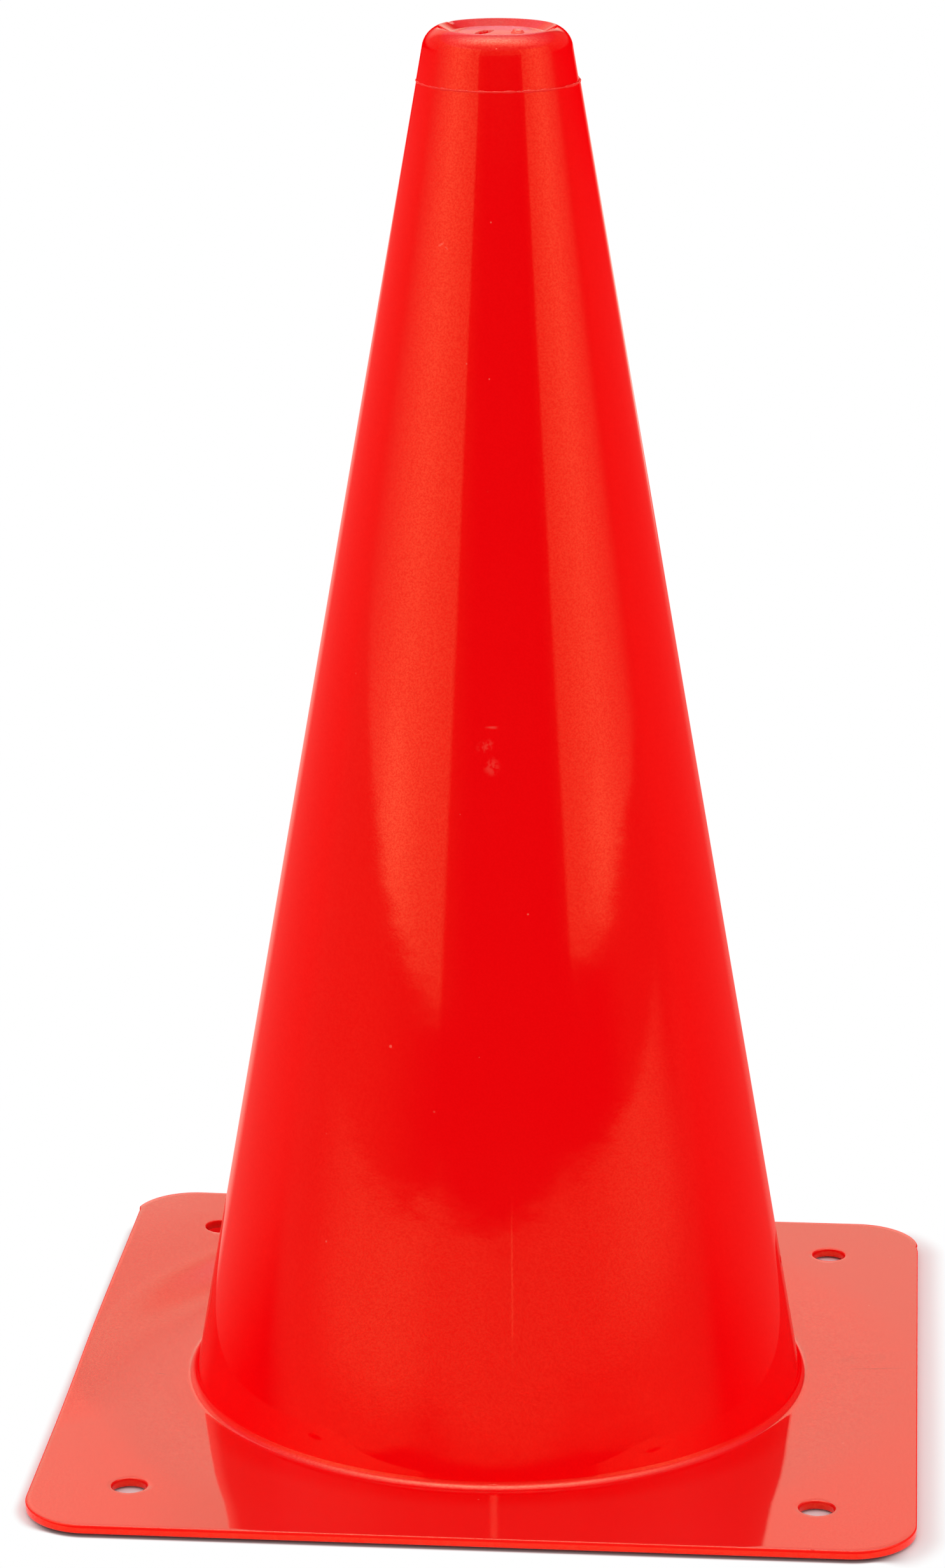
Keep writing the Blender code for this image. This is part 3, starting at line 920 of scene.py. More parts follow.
class CONE_OT_make_crown(bpy.types.Operator):
    """Makes the crown: rolled rim, dished recess with its scar, and the stub of the sprue"""

    bl_idname = "cone.make_crown"
    bl_label = "Crown"

    def execute(self, context):
        mould, crown = settings(context, "mould"), settings(context, "crown")
        material = make_plastic("crown", PALE_CROWN, haze=recess_haze)
        lip_centre, rim = rim_profile(mould, crown)
        profile = recess_profile(crown, lip_centre) + rim + ceiling_profile(mould, crown)
        values = turned_values(mould, material, tuple(crown.shift))
        values["Wave Height"] = 0.0
        piece = turn("moulded_crown", profile, values)
        self.press_scar(piece.data, crown)
        dress(piece, "crown")
        self.make_stub(crown, make_plastic("stub", haze=STUB_HAZE))
        return {"FINISHED"}

    def press_scar(self, mesh, crown):
        """Sinks the scar into the recess floor and the nick into the lip."""
        floor = TOP - crown.recess_depth
        depth = mesh.attributes.new(SCAR_ATTRIBUTE, "FLOAT", "POINT")
        for vertex in mesh.vertices:
            if abs(vertex.co.z - floor) < MERGE_DISTANCE:
                sunk = scar_mask(vertex.co.x, vertex.co.y, crown.scar_width)
                vertex.co.z -= crown.scar_depth * sunk
                depth.data[vertex.index].value = min(1.0, sunk * 3)
            elif vertex.co.z > floor:
                away = math.dist(vertex.co.xy, LIP_NICK)
                vertex.co.z -= crown.nick_depth * (1 - soft_step(away, 0.0, LIP_NICK_REACH))

    def make_stub(self, crown, material):
        """The cut-off stub of the sprue, with a torn top."""
        radius, height = crown.stub_radius, crown.stub_height
        centre, root = (radius * STUB_FLAT, height * STUB_FLAT), -height * STUB_ROOT
        profile = [(0.0, height)]
        profile += arc(centre, height * (1 - STUB_FLAT), math.pi / 2, 0.0, 5)
        profile += [(radius, height * STUB_SIDE), (radius * STUB_SPREAD, root), (0.0, root)]
        values = turned_values(settings(bpy.context, "mould"), material)
        values.update({"Steps": STUB_STEPS, "Wave Height": 0.0})
        stub = turn("gate_stub", profile, values)
        place = Vector((crown.stub_offset, 0.0, TOP - crown.recess_depth))
        for vertex in stub.data.vertices:
            if vertex.co.z > 0:
                rough = noise.noise(vertex.co * 900) + 0.5 * noise.noise(vertex.co * 2300)
                vertex.co.z *= 1 + STUB_TEAR[0] * rough
                vertex.co.x *= 1 + STUB_TEAR[1] * noise.noise(vertex.co * 700 + Vector((5, 0, 0)))
            vertex.co += place
        dress(stub)


# Tilt of the foot fillet where its tail starts, the rows of faces in the tail, and in the round of
# the plate's edge on each face
TAIL_TILT = math.radians(30)
TAIL_STEPS = 10
EDGE_STEPS = 4

# The rings of points between a peg hole's rim and the edge of its block, as shares of the way
HOLE_BLENDS = (0.4, 0.75)

# Where the plate's bend, its drawn-in edge and the nick start and end, as shares of half its width:
# out from the axis and towards the back left corner, to the left, to the back and past the corner
BENT_OUT = (0.76, 1.0)
BENT_BACK_LEFT = (0.35, 1.35)
DRAWN_LEFT = (0.62, 0.8)
DRAWN_BACK = (0.0, 0.85)
DRAWN_PAST = (0.86, 0.89)
NICK_IN = (0.97, 1.0)


def plate_step(value, low, high):
    """A soft step between two shares of half the plate's width."""
    return soft_step(value, PLATE_HALF * low, PLATE_HALF * high)


class CONE_OT_make_plate(bpy.types.Operator):
    """Makes the square foot plate with its peg holes, fillet and bent corner"""

    bl_idname = "cone.make_plate"
    bl_label = "Foot Plate"

    ARC_COLUMNS = 12
    RINGS = 40
    HOLE_COLUMNS = 7
    HOLE_RINGS = 5

    def execute(self, context):
        self.mould, self.plate = settings(context, "mould"), settings(context, "plate")
        self.count = self.mould.steps
        looks = {"haze": plate_haze, "mirrored": PLATE_MIRRORED, "thin": plate_edge}
        # The plate's dark marks include painted shade along a crease near its right edge.
        material = make_plastic("plate", dark=PLATE_SMUDGES_AND_CREASE_SHADE, **looks)
        self.points, self.faces = [], []
        self.build()
        mesh = bpy.data.meshes.new("moulded_plate")
        mesh.from_pydata(self.points, [], self.faces)
        mesh.validate()
        for vertex in mesh.vertices:
            vertex.co = self.bent(vertex.co)
        piece = add_object("moulded_plate", mesh, material)
        smooth(piece)
        dress(piece, "base_plate")
        return {"FINISHED"}

    def ring(self, points):
        """Adds a ring of points, and returns their numbers."""
        first = len(self.points)
        self.points += points
        return range(first, len(self.points))

    def on_turn(self, radius, column):
        """Point of a circle in one column."""
        return on_circle(radius, column * (math.tau / self.count))

    def circle(self, radius, z):
        """A ring on a circle."""
        return self.ring([(*self.on_turn(radius, column), z) for column in range(self.count)])

    def outline_point(self, column, inset):
        """Point of the plate's rounded outline, moved inwards by an inset."""
        quarter = self.count // 4
        corner, place = divmod(column, quarter)
        step = place - quarter // 2
        middle = PLATE_HALF - self.plate.corner_radius
        if abs(step) <= self.ARC_COLUMNS:
            turned = math.pi / 4 * (1 + step / self.ARC_COLUMNS)
            x, y = on_circle(self.plate.corner_radius - inset, turned, (middle, middle))
        else:
            run = (abs(step) - self.ARC_COLUMNS) / (quarter // 2 - self.ARC_COLUMNS)
            x, y = PLATE_HALF - inset, middle * (1 - run)
            if step > 0:
                x, y = y, x
        return tuple(Matrix.Rotation(corner * math.pi / 2, 2) @ Vector((x, y)))

    def outline(self, inset, z):
        """A ring on the plate's outline."""
        return self.ring([(*self.outline_point(column, inset), z) for column in range(self.count)])

    def between(self, radius, inset, run, z):
        """A ring between a circle and the outline."""
        points = []
        for column in range(self.count):
            start, end = self.on_turn(radius, column), self.outline_point(column, inset)
            points.append((*(a + (b - a) * run for a, b in zip(start, end)), z))
        return self.ring(points)

    def edge_steps(self):
        """Insets and heights of the rounds along an edge, from the plate's top to its underside."""
        edge = self.plate.edge_round
        turns = [math.pi / 2 * step / EDGE_STEPS for step in range(EDGE_STEPS + 1)]
        top = [(edge * (1 - math.sin(a)), PLATE_TOP - edge * (1 - math.cos(a))) for a in turns]
        return top + [(edge * (1 - math.cos(a)), edge * (1 - math.sin(a))) for a in turns]

    def build(self):
        """Lays the rings from the collar, over the top and the edge, and back under the plate."""
        fillet = self.fillet_profile()
        edge, foot = self.plate.edge_round, fillet[-1][0]
        runs = [run / self.RINGS for run in range(self.RINGS + 1)]
        rings = [self.circle(inner_radius(self.mould, COLLAR), COLLAR)]
        rings += [self.circle(x, z) for x, z in fillet]
        top_start = len(rings) - 1
        rings += [self.between(foot, edge, run, PLATE_TOP) for run in runs[1:-1]]
        rings += [self.outline(inset, z) for inset, z in self.edge_steps()]
        bottom_start = len(rings) - 1
        rings += [self.between(foot, edge, 1 - run, 0.0) for run in runs[1:]]
        rings.append(self.circle(inner_radius(self.mould, 0.0), 0.0))
        self.skin(rings, top_start, bottom_start)

    def fillet_profile(self):
        """The fillet between the wall and the plate's top, from the collar down to its tail's end."""
        lean = math.atan(wall_slope(self.mould))
        radius, length, height = self.plate.foot_fillet, self.plate.tail_length, self.plate.tail_height
        centre_z = PLATE_TOP + height + radius * math.cos(TAIL_TILT)
        centre_x = outer_radius(self.mould, centre_z) + radius / math.cos(lean)
        bend = arc((centre_x, centre_z), radius, math.pi + lean, math.pi * 1.5 - TAIL_TILT, 12)
        fall = math.tan(TAIL_TILT) * length / height
        runs = [step / TAIL_STEPS for step in range(1, TAIL_STEPS + 1)]
        tail = [(bend[-1][0] + length * run, PLATE_TOP + height * (1 - run) ** fall) for run in runs]
        collar = (outer_radius(self.mould, COLLAR), COLLAR)
        return [collar] + bend + tail

    def skin(self, rings, top_start, bottom_start):
        """Joins the rings with faces, and bores the peg holes through the blocks that it leaves out."""
        quarter = self.count // 4
        centre_ring = round(self.hole_run() * self.RINGS)
        low, high = centre_ring - self.HOLE_RINGS, centre_ring + self.HOLE_RINGS
        top = (top_start + low, top_start + high)
        under = (bottom_start + self.RINGS - low, bottom_start + self.RINGS - high)
        left_out = [*range(*top), *range(under[1], under[0])]
        for row, this in enumerate(rings):
            below = rings[(row + 1) % len(rings)]
            for column in range(self.count):
                across = (column + 1) % self.count
                step = column % quarter - quarter // 2
                if row in left_out and -self.HOLE_COLUMNS <= step < self.HOLE_COLUMNS:
                    continue
                self.faces.append((this[across], this[column], below[column], below[across]))
        for corner in range(4):
            middle = corner * quarter + quarter // 2
            columns = range(middle - self.HOLE_COLUMNS, middle + self.HOLE_COLUMNS + 1)
            self.bore_hole(*(self.block_edge(rings, columns, *rows) for rows in (top, under)))

    def hole_run(self):
        """How far out the peg holes are, from the fillet's foot to the outline's corner."""
        start = self.fillet_profile()[-1][0]
        x, y = self.outline_point(self.count // 8, self.plate.edge_round)
        return (PEG_HOLE_CENTRE * math.sqrt(2) - start) / (math.hypot(x, y) - start)

    def block_edge(self, rings, columns, inner, outer):
        """Points round the block of faces that a peg hole takes out, anticlockwise from above."""
        step = 1 if outer > inner else -1
        first, last = columns[0], columns[-1]
        edge = [rings[row][first] for row in range(inner, outer, step)]
        edge += [rings[outer][column] for column in columns[:-1]]
        edge += [rings[row][last] for row in range(outer, inner, -step)]
        edge += [rings[inner][column] for column in reversed(columns[1:])]
        return edge

    def bore_hole(self, top, under):
        """Joins the two blocks' edges through one peg hole with rounded rims."""
        corner, beside = (self.points[i] for i in top[:2])
        centre = [math.copysign(PEG_HOLE_CENTRE, part) for part in corner[:2]]
        radius, count = self.plate.peg_hole / 2, len(top)
        start, then = (math.atan2(p[1] - centre[1], p[0] - centre[0]) for p in (corner, beside))
        way = 1 if (then - start + math.pi) % math.tau > math.pi else -1
        turns = [start + way * math.tau * i / count for i in range(count)]

        def around(inset, z):
            """Points round the hole, at an inset from its wall."""
            return [(*on_circle(radius + inset, a, centre), z) for a in turns]

        def blended(block, z, run):
            """Points between a block's edge and the hole's rim."""
            rim = around(self.plate.edge_round, z)
            return [tuple(Vector(self.points[i]).lerp(Vector(end), run)) for i, end in zip(block, rim)]

        loops = [top]
        loops += [self.ring(blended(top, PLATE_TOP, run)) for run in HOLE_BLENDS]
        loops += [self.ring(around(inset, z)) for inset, z in self.edge_steps()]
        loops += [self.ring(blended(under, 0.0, run)) for run in reversed(HOLE_BLENDS)]
        loops.append(under)
        for a, b in zip(loops, loops[1:]):
            for i in range(count):
                j = (i + 1) % count
                self.faces.append((a[i], a[j], b[j], b[i]))

    def bent(self, point):
        """A point of the flat plate, where it lies on the bent one."""
        plate = self.plate
        x, y, z = point
        out = math.hypot(x, y)
        away = plate_step(out, *BENT_OUT)
        lift = plate.corner_lift * plate_step((y - x) / math.sqrt(2), *BENT_BACK_LEFT) * away
        wave = noise.noise(Vector((x, y, 7.3)) / plate.wave_length) * plate.wave_height * away
        drawn = plate.edge_draw * plate_step(-x, *DRAWN_LEFT) * plate_step(y, *DRAWN_BACK)
        drawn *= 1 - plate_step(y, *DRAWN_PAST)
        hollow = plate.hollow_depth * (1 - soft_step(out, WALL_HIGH.x, plate.hollow_reach))
        nick = plate.nick_depth * plate_step(x, *NICK_IN)
        nick *= 1 - soft_step(abs(y - plate.nick_place), 0.0, plate.nick_length)
        near_top = max(0.0, min(z / PLATE_TOP, (COLLAR - z) / (COLLAR - PLATE_TOP)))
        return x + drawn - nick, y, z + lift + (wave - hollow) * near_top


# Where the flecks' path runs, as shares of a fleck's size: in from the plate's front edge and below
# its top, so that they stay inside its outline, and the step along it
FLECK_INSET = 0.3
FLECK_SUNK = 0.12
FLECK_PATH_STEP = 0.005


class CONE_OT_make_flash(bpy.types.Operator):
    """Makes the ridge of flash round the parting line and the flecks on the plate's edge"""

    bl_idname = "cone.make_flash"
    bl_label = "Flash"

    def execute(self, context):
        mould, flash = settings(context, "mould"), settings(context, "flash")
        material = make_plastic("flash", haze=FLASH_HAZE)
        radius, steps = outer_radius(mould, SEAM), mould.steps * 4
        ring = [(*on_circle(radius, math.tau * i / steps), SEAM) for i in range(steps)]
        values = {"Proud": flash.ridge_proud, "Height": flash.ridge_height, "Wander": flash.ridge_wander}
        values.update({"Seed": flash.seed, "Material": material})
        self.run_along("parting_ridge", polyline("parting_ridge_path", ring, True), "flash_ridge", values)

        reach = PLATE_HALF - settings(context, "plate").corner_radius
        place = (flash.fleck_size * FLECK_INSET - PLATE_HALF, PLATE_TOP - flash.fleck_size * FLECK_SUNK)
        path = polyline("edge_flecks_path", line((-reach, *place), (reach, *place), FLECK_PATH_STEP))
        values = {"Places": flash.fleck_places, "Share": flash.fleck_share, "Size": flash.fleck_size}
        values.update({"Seed": flash.seed, "Material": material})
        self.run_along("edge_flecks", path, "edge_flecks", values)
        return {"FINISHED"}

    def run_along(self, name, path, tree_name, values):
        """A piece that a node tree makes along a path."""
        piece = add_object(name, path, None)
        run_nodes(piece, bpy.data.node_groups[tree_name], values)
        smooth(piece)
        dress(piece)


# The studio as the cone sees it, in degrees. Azimuth is 0 towards the viewer, 90 to the right and
# 180 behind. Each soft panel has its left and right ends and how softly they fade, its low and
# high ends and how softly they fade, the azimuth past which it sinks, how much it then sinks
# with each degree, and its level.
PANELS = [
    ("left box", -86.0, -23.5, 14.0, 1.5, 0.95, 40.0, 0.25, 8.0, 0.0, 0.0235, 0.46),
    ("left box, heart", -67.0, -35.0, 15.0, 27.0, 0.95, 41.0, 0.25, 8.0, 0.0, 0.0235, 0.47),
    ("left box, rim", -64.0, -46.0, 8.0, 10.0, 1.1, 2.7, 0.25, 0.5, 0.0, 0.0235, 0.35),
    ("left haze", -98.0, -42.0, 6.0, 22.0, -9.3, 40.0, 1.3, 5.0, 0.0, 0.0, 0.17),
    ("right box", 41.0, 92.0, 1.5, 8.0, 2.6, 37.0, 0.2, 7.0, 0.0, 0.045, 0.41),
    ("right box, heart", 49.0, 77.0, 17.0, 12.0, 2.6, 37.0, 0.2, 7.0, 0.0, 0.045, 0.46),
    ("right box, rim", 56.0, 68.0, 6.0, 6.0, 2.7, 3.8, 0.2, 0.5, 0.0, 0.045, 0.25),
    ("right haze", 62.0, 98.0, 10.0, 6.0, -9.3, 40.0, 1.3, 5.0, 0.0, 0.0, 0.075),
    ("between the boxes", -25.0, 41.0, 4.0, 3.0, 13.0, 46.0, 3.5, 9.0, 0.0, 0.0, 0.24),
    ("strip light", 1.2, 4.0, 0.7, 0.7, 41.5, 46.5, 1.0, 1.0, 0.0, 0.0, 4.20),
    ("thin stand", 9.8, 10.3, 0.15, 0.15, -2.6, -1.3, 0.2, 0.2, 0.0, 0.0, 0.60),
    ("table, left", -67.0, 0.0, 16.0, 6.0, -3.9, -1.4, 0.9, 0.12, 21.0, 0.058, 0.36),
    ("table, left box in it", -46.0, -25.0, 9.0, 9.0, -3.9, -1.4, 0.9, 0.12, 21.0, 0.058, 0.13),
    ("table, right", 0.0, 86.0, 6.0, 8.0, -4.0, -1.4, 1.0, 0.12, 32.0, 0.04, 0.31),
    ("table, right box in it", 50.0, 74.0, 10.0, 9.0, -4.0, -1.4, 1.0, 0.12, 32.0, 0.04, 0.13),
    ("near table, right", 52.0, 98.0, 12.0, 10.0, -8.0, -5.4, 2.0, 1.2, 0.0, 0.0, 0.10),
    ("left side", -156.0, -98.0, 5.0, 6.0, 9.5, 24.0, 1.5, 2.0, 0.0, 0.19, 0.135),
    ("right side", 98.0, 160.0, 6.0, 5.0, 10.5, 24.0, 1.5, 2.0, 0.0, 0.19, 0.08),
    ("rear table, left", -182.0, -153.0, 1.0, 6.0, -23.0, -7.5, 2.0, 1.2, 0.0, 0.0, 0.42),
    ("rear table, right", 160.0, 182.0, 5.0, 1.0, -23.0, -4.5, 2.0, 0.8, 0.0, 0.0, 0.18),
    ("backdrop, foot", 167.0, 182.0, 4.0, 1.0, -10.8, -6.5, 0.6, 0.8, 0.0, 0.0, 0.60),
    ("left wall", -164.0, -95.0, 8.0, 8.0, 6.0, 34.0, 4.0, 8.0, 0.0, 0.0, 0.17),
    ("right wall", 95.0, 166.0, 8.0, 8.0, 8.0, 32.0, 4.0, 6.0, 0.0, 0.0, 0.12),
    ("left wall, far end", -168.0, -144.0, 4.0, 8.0, 14.0, 52.0, 6.0, 6.0, 0.0, 0.0, 0.45),
    ("backdrop, left", -182.0, -165.0, 1.0, 3.0, 12.0, 57.0, 5.0, 5.0, 0.0, 0.0, 1.08),
    ("backdrop, right", 168.0, 182.0, 3.0, 1.0, 12.0, 57.0, 5.0, 5.0, 0.0, 0.0, 1.08),
    ("backdrop, low left", -182.0, -161.0, 1.0, 4.0, 12.0, 20.5, 2.0, 8.0, 0.0, 0.0, 0.25),
    ("backdrop, low right", 168.0, 182.0, 4.0, 1.0, 12.0, 20.5, 2.0, 8.0, 0.0, 0.0, 0.25),
    ("backdrop, by the bend", -178.0, -172.5, 1.0, 1.0, 26.5, 31.0, 1.5, 2.0, 0.0, 0.0, 0.22),
    ("backdrop, top left", -182.0, -157.0, 1.0, 6.0, 39.0, 56.0, 7.0, 5.0, 0.0, 0.0, 1.10),
    ("backdrop, top right", 163.0, 182.0, 4.0, 1.0, 39.0, 56.0, 7.0, 5.0, 0.0, 0.0, 0.70),
]

# The soft box overhead, on a level plane one unit up: its middle and half its width across X and
# along Y, how fast it fades, its level, and the least rise that its plane is worked out for
OVERHEAD_ACROSS = (-0.04, 0.72)
OVERHEAD_ALONG = (-0.07, 0.45)
OVERHEAD_FADE = 1.55
OVERHEAD_LEVEL = 5.3
LEAST_RISE = 0.001

# The two lights that fill the cone's sides: their azimuth and how narrow they are
SIDE_LIGHT_AZIMUTH = math.radians(115)
SIDE_LIGHT_FOCUS = 6.0
SIDE_LIGHT_RIGHT_SHARE = 0.96

# How narrow the light from the viewer's side is, how blue the light of the low panels and of what
# hangs over them is, and the elevations between these two
FRONT_LIGHT_FOCUS = 4.0
PANEL_BLUE = (0.85, 1.3)
BLUE_HIGH = (31.0, 37.0)

# How much redder the panels are: the share that is added in front, low behind and high behind, the
# azimuths over which the front's fades and behind starts, the elevations between low and high
# behind, and those over which what is added there stops
WARMTH = (1.7, -0.4, 0.58)
WARM_FRONT = (96.0, 115.0)
BEHIND = (140.0, 155.0)
WARM_BACK = (20.3, 25.0)
WARM_HIGH = (27.0, 31.0)

# The part behind that the bent corner mirrors: its share of added red, and the azimuths and
# elevations over which it starts and stops
BEND_WARMTH = -0.2
BEND_LEFT = (-178.5, -177.5)
BEND_RIGHT = (-172.0, -171.0)
BEND_LOW = (20.3, 21.3)
BEND_HIGH = (31.0, 35.0)

# Where the gloss also shows red that the cone throws on its surroundings, behind its sides: the
# azimuths over which this starts and stops, and the elevations over which it stops behind
RED_STARTS = (88.0, 108.0)
RED_STOPS = (158.0, 166.0)
RED_HIGH = (16.0, 20.5)
PANEL_KEYS = ["Left", "Right", "Left Fade", "Right Fade"]
PANEL_KEYS += ["Low", "High", "Low Fade", "High Fade", "Sink From", "Sink", "Level"]


def make_panel_group():
    """Brightness of one soft panel in the direction that is looked in."""
    inputs = {"Float": ["Azimuth", "Elevation", *PANEL_KEYS]}
    tree, given, result = new_group("Shader", "soft_panel", inputs, {"Float": ["Level"]})
    sideways = calc("MAXIMUM", minus(calc("ABSOLUTE", given["Azimuth"]), given["Sink From"]), 0.0)
    raised = times_plus(sideways, given["Sink"], given["Elevation"])
    lit = given["Level"]
    for value, ends in ((given["Azimuth"], ("Left", "Right")), (raised, ("Low", "High"))):
        fades = [given[end + " Fade"] for end in ends]
        parts = [(minus(given[end], fade), plus(given[end], fade)) for end, fade in zip(ends, fades)]
        lit = times(within(value, *parts), lit)
    tree.links.new(lit, result["Level"])


# How far the plate's shadow reaches on the floor in front, at the right and at the left, and how far
# inside the right and the left edge it starts to
SHADOW_REACH = (0.0017, 0.010, 0.004)
SHADOW_TURNS = (0.012, 0.010)

# The shade of the floor, what it is at the shadow's start: more at the sides, and in front, and how
# it gets lighter under the plate's edge
FLOOR_SHADE = 0.9
SHADOW_STARTS = (0.6, 0.24)
UNDER_EDGE = (-0.004, -0.001, 0.62, 0.0)
SHADOW_FADE = 0.3
BLACK = (0.0, 0.0, 0.0, 1.0)
WHITE = (1.0, 1.0, 1.0, 1.0)

# The floor that shows through the bent corner's peg hole, which the light through the plastic turns
# red: its middle, how far it reaches, its colour and how much light comes through
RED_FLOOR_CENTRE = (-PEG_HOLE_CENTRE - 0.002, PEG_HOLE_CENTRE + 0.014, 0.0)
RED_FLOOR_REACH = (0.007, 0.012)
RED_FLOOR = (1.0, 0.01, 0.01, 1.0)
RED_FLOOR_GLOW = 0.42

# The part of the floor in front that the gloss shows dark: its two sides and their fade along X,
# and where it starts to end and ends along Y
DARK_FLOOR_SIDES = (-0.085, 0.115, 0.02)
DARK_FLOOR_END = (0.185, 0.245)

# How long a ray may be that finds the floor by the plate lit, so that the plate's edge shows it and
# the cone's wall doesn't, and how far from the plate the lit band ends
LIT_WITHIN = 0.022
LIT_BAND = (0.005, 0.008)


class CONE_OT_make_stage(bpy.types.Operator):
    """Makes the floor, the soft light of the studio and the camera"""

    bl_idname = "cone.make_stage"
    bl_label = "Floor, Light and Camera"

    def execute(self, context):
        studio = settings(context, "studio")
        self.make_floor(studio)
        self.make_light(context.scene, studio)
        self.make_camera(context.scene, studio)
        context.scene.view_settings.view_transform = "Standard"
        return {"FINISHED"}

    def make_floor(self, studio):
        """A plain pale floor that keeps the cone's shadow."""
        reach_x, front, back = 4.0, -2.4, 6.0
        z = -studio.floor_drop
        mesh = bpy.data.meshes.new("floor")
        corners = [(-reach_x, front, z), (reach_x, front, z), (reach_x, back, z), (-reach_x, back, z)]
        mesh.from_pydata(corners, [], [(0, 1, 2, 3)])
        add_object("floor", mesh, self.floor_material())

    def floor_material(self):
        """White for the camera, with a plain lit surface round the plate that keeps its shadow."""
        material = bpy.data.materials.new("floor_white")
        material.use_nodes = True
        tree = material.node_tree
        tree.nodes.remove(tree.nodes["Principled BSDF"])
        coordinates = add_node(tree, "ShaderNodeTexCoord").outputs["Object"]
        place = parts_of(coordinates)
        away = beyond_plate(place)
        in_front, at_right, at_left = SHADOW_REACH
        right = ramp(place["X"], PLATE_HALF - SHADOW_TURNS[0], PLATE_HALF)
        left = ramp(place["X"], SHADOW_TURNS[1] - PLATE_HALF, -PLATE_HALF)
        reach = times_plus(right, at_right - in_front, in_front)
        reach = times_plus(left, at_left - in_front, reach)
        start = plus(times_plus(plus(left, right), *SHADOW_STARTS), ramp(away, *UNDER_EDGE))
        path = add_node(tree, "ShaderNodeLightPath").outputs
        shade = mix_number(path["Is Camera Ray"], FLOOR_SHADE, ramp(away, 0.0, reach, start, FLOOR_SHADE))
        from_hole = vector_calc("DISTANCE", coordinates, RED_FLOOR_CENTRE)
        reddened = ramp(from_hole, *RED_FLOOR_REACH, 1.0, 0.0)
        shade = mix_colour(reddened, shade, RED_FLOOR)
        lit = add_node(tree, "ShaderNodeBsdfDiffuse", {"Color": shade}).outputs[0]
        glow = {"Color": RED_FLOOR, "Strength": times(reddened, RED_FLOOR_GLOW)}
        glow = add_node(tree, "ShaderNodeEmission", glow).outputs[0]
        glowing = add_node(tree, "ShaderNodeAddShader", {0: lit, 1: glow}).outputs[0]
        white = add_node(tree, "ShaderNodeEmission", {"Strength": 1.0}).outputs[0]
        seen = mix_shader(ramp(away, times(reach, SHADOW_FADE), reach), glowing, white)
        plain = mix_shader(path["Is Camera Ray"], lit, seen)
        both = mix_shader(path["Is Glossy Ray"], plain, self.mirrored_floor(path, place, away, lit))
        tree.links.new(both, tree.nodes["Material Output"].inputs["Surface"])
        return material

    def mirrored_floor(self, path, place, away, lit):
        """The floor as the gloss shows it: lit by the plate, dark in front, then the studio's table."""
        tree = away.id_data
        low, high, fade = DARK_FLOOR_SIDES
        dark_share = within(place["X"], (low - fade, low), (high, high + fade))
        near = ramp(place["Y"], -DARK_FLOOR_END[1], -DARK_FLOOR_END[0])
        dark_share = times(dark_share, near, calc("LESS_THAN", place["Y"], -PLATE_HALF))
        clear = add_node(tree, "ShaderNodeBsdfTransparent").outputs[0]
        dark = add_node(tree, "ShaderNodeBsdfDiffuse", {"Color": BLACK}).outputs[0]
        far_ray = calc("GREATER_THAN", path["Ray Length"], LIT_WITHIN)
        unlit = calc("MAXIMUM", ramp(away, *LIT_BAND), far_ray)
        return mix_shader(unlit, lit, mix_shader(dark_share, clear, dark))

    def make_light(self, scene, studio):
        """Soft panels for the gloss, a plain even light for the colour, white for the camera."""
        world = bpy.data.worlds.new("studio")
        scene.world = world
        world.use_nodes = True
        tree = world.node_tree
        sight = parts_of(add_node(tree, "ShaderNodeTexCoord").outputs["Generated"])
        behind = times(sight["Y"], -1.0)
        azimuth = times(calc("ARCTAN2", sight["X"], behind), math.degrees(1))
        elevation = times(calc("ARCSINE", sight["Z"]), math.degrees(1))
        gloss = self.gloss_light(sight, azimuth, elevation, studio.red_bounce)

        right = times(sight["X"], SIDE_LIGHT_RIGHT_SHARE)
        aside = times(calc("MAXIMUM", right, times(sight["X"], -1.0)), math.sin(SIDE_LIGHT_AZIMUTH))
        aside = times_plus(sight["Y"], -math.cos(SIDE_LIGHT_AZIMUTH), aside)
        aside = calc("POWER", calc("MAXIMUM", aside, 0.0), SIDE_LIGHT_FOCUS)
        ahead = calc("POWER", calc("MAXIMUM", behind, 0.0), FRONT_LIGHT_FOCUS)
        even = times_plus(aside, studio.side_fill, studio.fill)
        even = times_plus(ahead, studio.front_fill, even)
        even = minus(even, times(calc("MAXIMUM", sight["Z"], LEAST_RISE), studio.top_loss))

        path = add_node(tree, "ShaderNodeLightPath").outputs
        lit = mix_colour(path["Is Glossy Ray"], even, gloss)
        seen = mix_colour(path["Is Camera Ray"], lit, WHITE)
        tree.links.new(seen, tree.nodes["Background"].inputs["Color"])

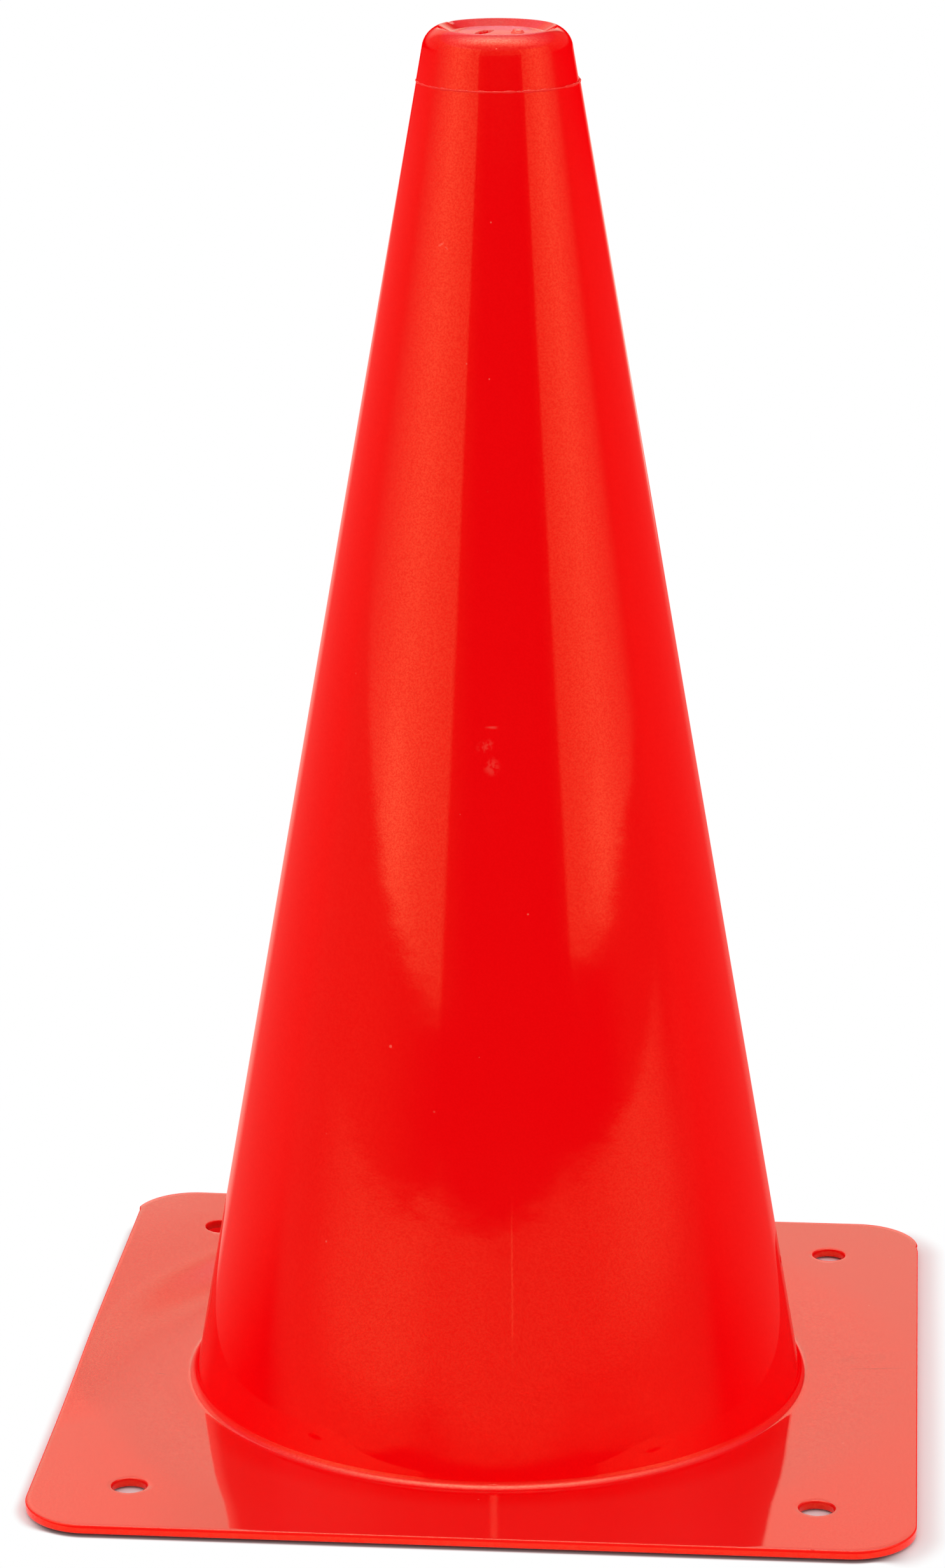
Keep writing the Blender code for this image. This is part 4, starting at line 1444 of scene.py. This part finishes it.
    def gloss_light(self, sight, azimuth, elevation, red_bounce):
        """The studio as the gloss shows it: the panels and the box overhead, redder or bluer by place."""
        tree = azimuth.id_data
        total = self.overhead(sight)
        for _, *values in PANELS:
            inputs = {"Azimuth": azimuth, "Elevation": elevation, **dict(zip(PANEL_KEYS, values))}
            total = plus(use_group(tree, "soft_panel", inputs)["Level"], total)
        sideways = calc("ABSOLUTE", azimuth)
        in_front, low_behind, high_behind = WARMTH
        warm_back = ramp(elevation, *WARM_BACK, low_behind, high_behind)
        warm_back = minus(warm_back, ramp(elevation, *WARM_HIGH, 0.0, high_behind))
        warm_back = times(warm_back, ramp(sideways, *BEHIND))
        bend = times(within(azimuth, BEND_LEFT, BEND_RIGHT), within(elevation, BEND_LOW, BEND_HIGH))
        warm_back = mix_number(bend, warm_back, BEND_WARMTH)
        warmth = plus(ramp(sideways, *WARM_FRONT, in_front, 0.0), warm_back, 1.0)
        red = ramp(sideways, *RED_STARTS, 0.0, red_bounce)
        stays = calc("MAXIMUM", ramp(sideways, *RED_STOPS, 1.0, 0.0), ramp(elevation, *RED_HIGH, 1.0, 0.0))
        redder = times_plus(red, stays, times(total, warmth))
        bluer = times(total, ramp(elevation, *BLUE_HIGH, *PANEL_BLUE))
        inputs = {0: redder, 1: total, 2: bluer}
        return add_node(tree, "ShaderNodeCombineColor", inputs).outputs[0]

    def overhead(self, sight):
        """Brightness of the soft box overhead, which fades from its middle outwards."""
        spread = 1.0
        for axis, middle, half in (("X", *OVERHEAD_ACROSS), ("Y", *OVERHEAD_ALONG)):
            spot = over(sight[axis], calc("MAXIMUM", sight["Z"], LEAST_RISE))
            part = over(minus(spot, middle), half)
            spread = times_plus(part, part, spread)
        fade = calc("POWER", spread, -OVERHEAD_FADE)
        return times(fade, calc("GREATER_THAN", sight["Z"], 0.0), OVERHEAD_LEVEL)

    def make_camera(self, scene, studio):
        """The camera at the photograph's viewing angle."""
        camera = bpy.data.cameras.new("camera")
        camera.lens = studio.lens
        camera.sensor_width = 36.0
        piece = bpy.data.objects.new("camera", camera)
        scene.collection.objects.link(piece)
        piece.location = studio.camera_place
        sight = Vector(studio.camera_aim) - Vector(studio.camera_place)
        piece.rotation_mode = "QUATERNION"
        roll = Quaternion((0, 0, 1), studio.camera_roll)
        piece.rotation_quaternion = sight.to_track_quat("-Z", "Y") @ roll
        scene.camera = piece


class CONE_PT_panel(bpy.types.Panel):
    """Lists the cone's pieces and their sizes"""

    bl_idname = "CONE_PT_panel"
    bl_label = "Training Cone"
    bl_space_type = "VIEW_3D"
    bl_region_type = "UI"
    bl_category = "Cone"

    def draw(self, context):
        for operator, kinds in PANEL_ROWS:
            self.layout.operator(operator.bl_idname)
            for kind in kinds:
                box = self.layout.box()
                group = settings(context, kind)
                for name in group.bl_rna.properties.keys():
                    if name not in ("rna_type", "name"):
                        box.prop(group, name)


SETTINGS = {
    "mould": MouldSettings,
    "crown": CrownSettings,
    "plate": PlateSettings,
    "flash": FlashSettings,
    "finish": FinishSettings,
    "studio": StudioSettings,
}
PANEL_ROWS = [
    (CONE_OT_make_wall, ["mould", "finish"]),
    (CONE_OT_make_crown, ["crown"]),
    (CONE_OT_make_plate, ["plate"]),
    (CONE_OT_make_flash, ["flash"]),
    (CONE_OT_make_stage, ["studio"]),
]


def register():
    """Registers the settings, the operators and the panel."""
    for kind, group in SETTINGS.items():
        bpy.utils.register_class(group)
        setattr(bpy.types.Scene, "cone_" + kind, bpy.props.PointerProperty(type=group))
    for operator, _ in PANEL_ROWS:
        bpy.utils.register_class(operator)
    bpy.utils.register_class(CONE_PT_panel)


def unregister():
    """Takes back what register did."""
    bpy.utils.unregister_class(CONE_PT_panel)
    for operator, _ in reversed(PANEL_ROWS):
        bpy.utils.unregister_class(operator)
    for kind, group in SETTINGS.items():
        delattr(bpy.types.Scene, "cone_" + kind)
        bpy.utils.unregister_class(group)


def make_groups():
    """Makes the node trees and groups that the pieces share."""
    make_turned_tree()
    make_ridge_tree()
    make_fleck_tree()
    make_surface_group()
    make_speck_group()
    make_scuff_group()
    make_panel_group()


def main():
    """Builds the cone and its studio."""
    register()
    make_groups()
    bpy.ops.cone.make_wall()
    bpy.ops.cone.make_crown()
    bpy.ops.cone.make_plate()
    bpy.ops.cone.make_flash()
    bpy.ops.cone.make_stage()


if __name__ == "__main__":
    main()
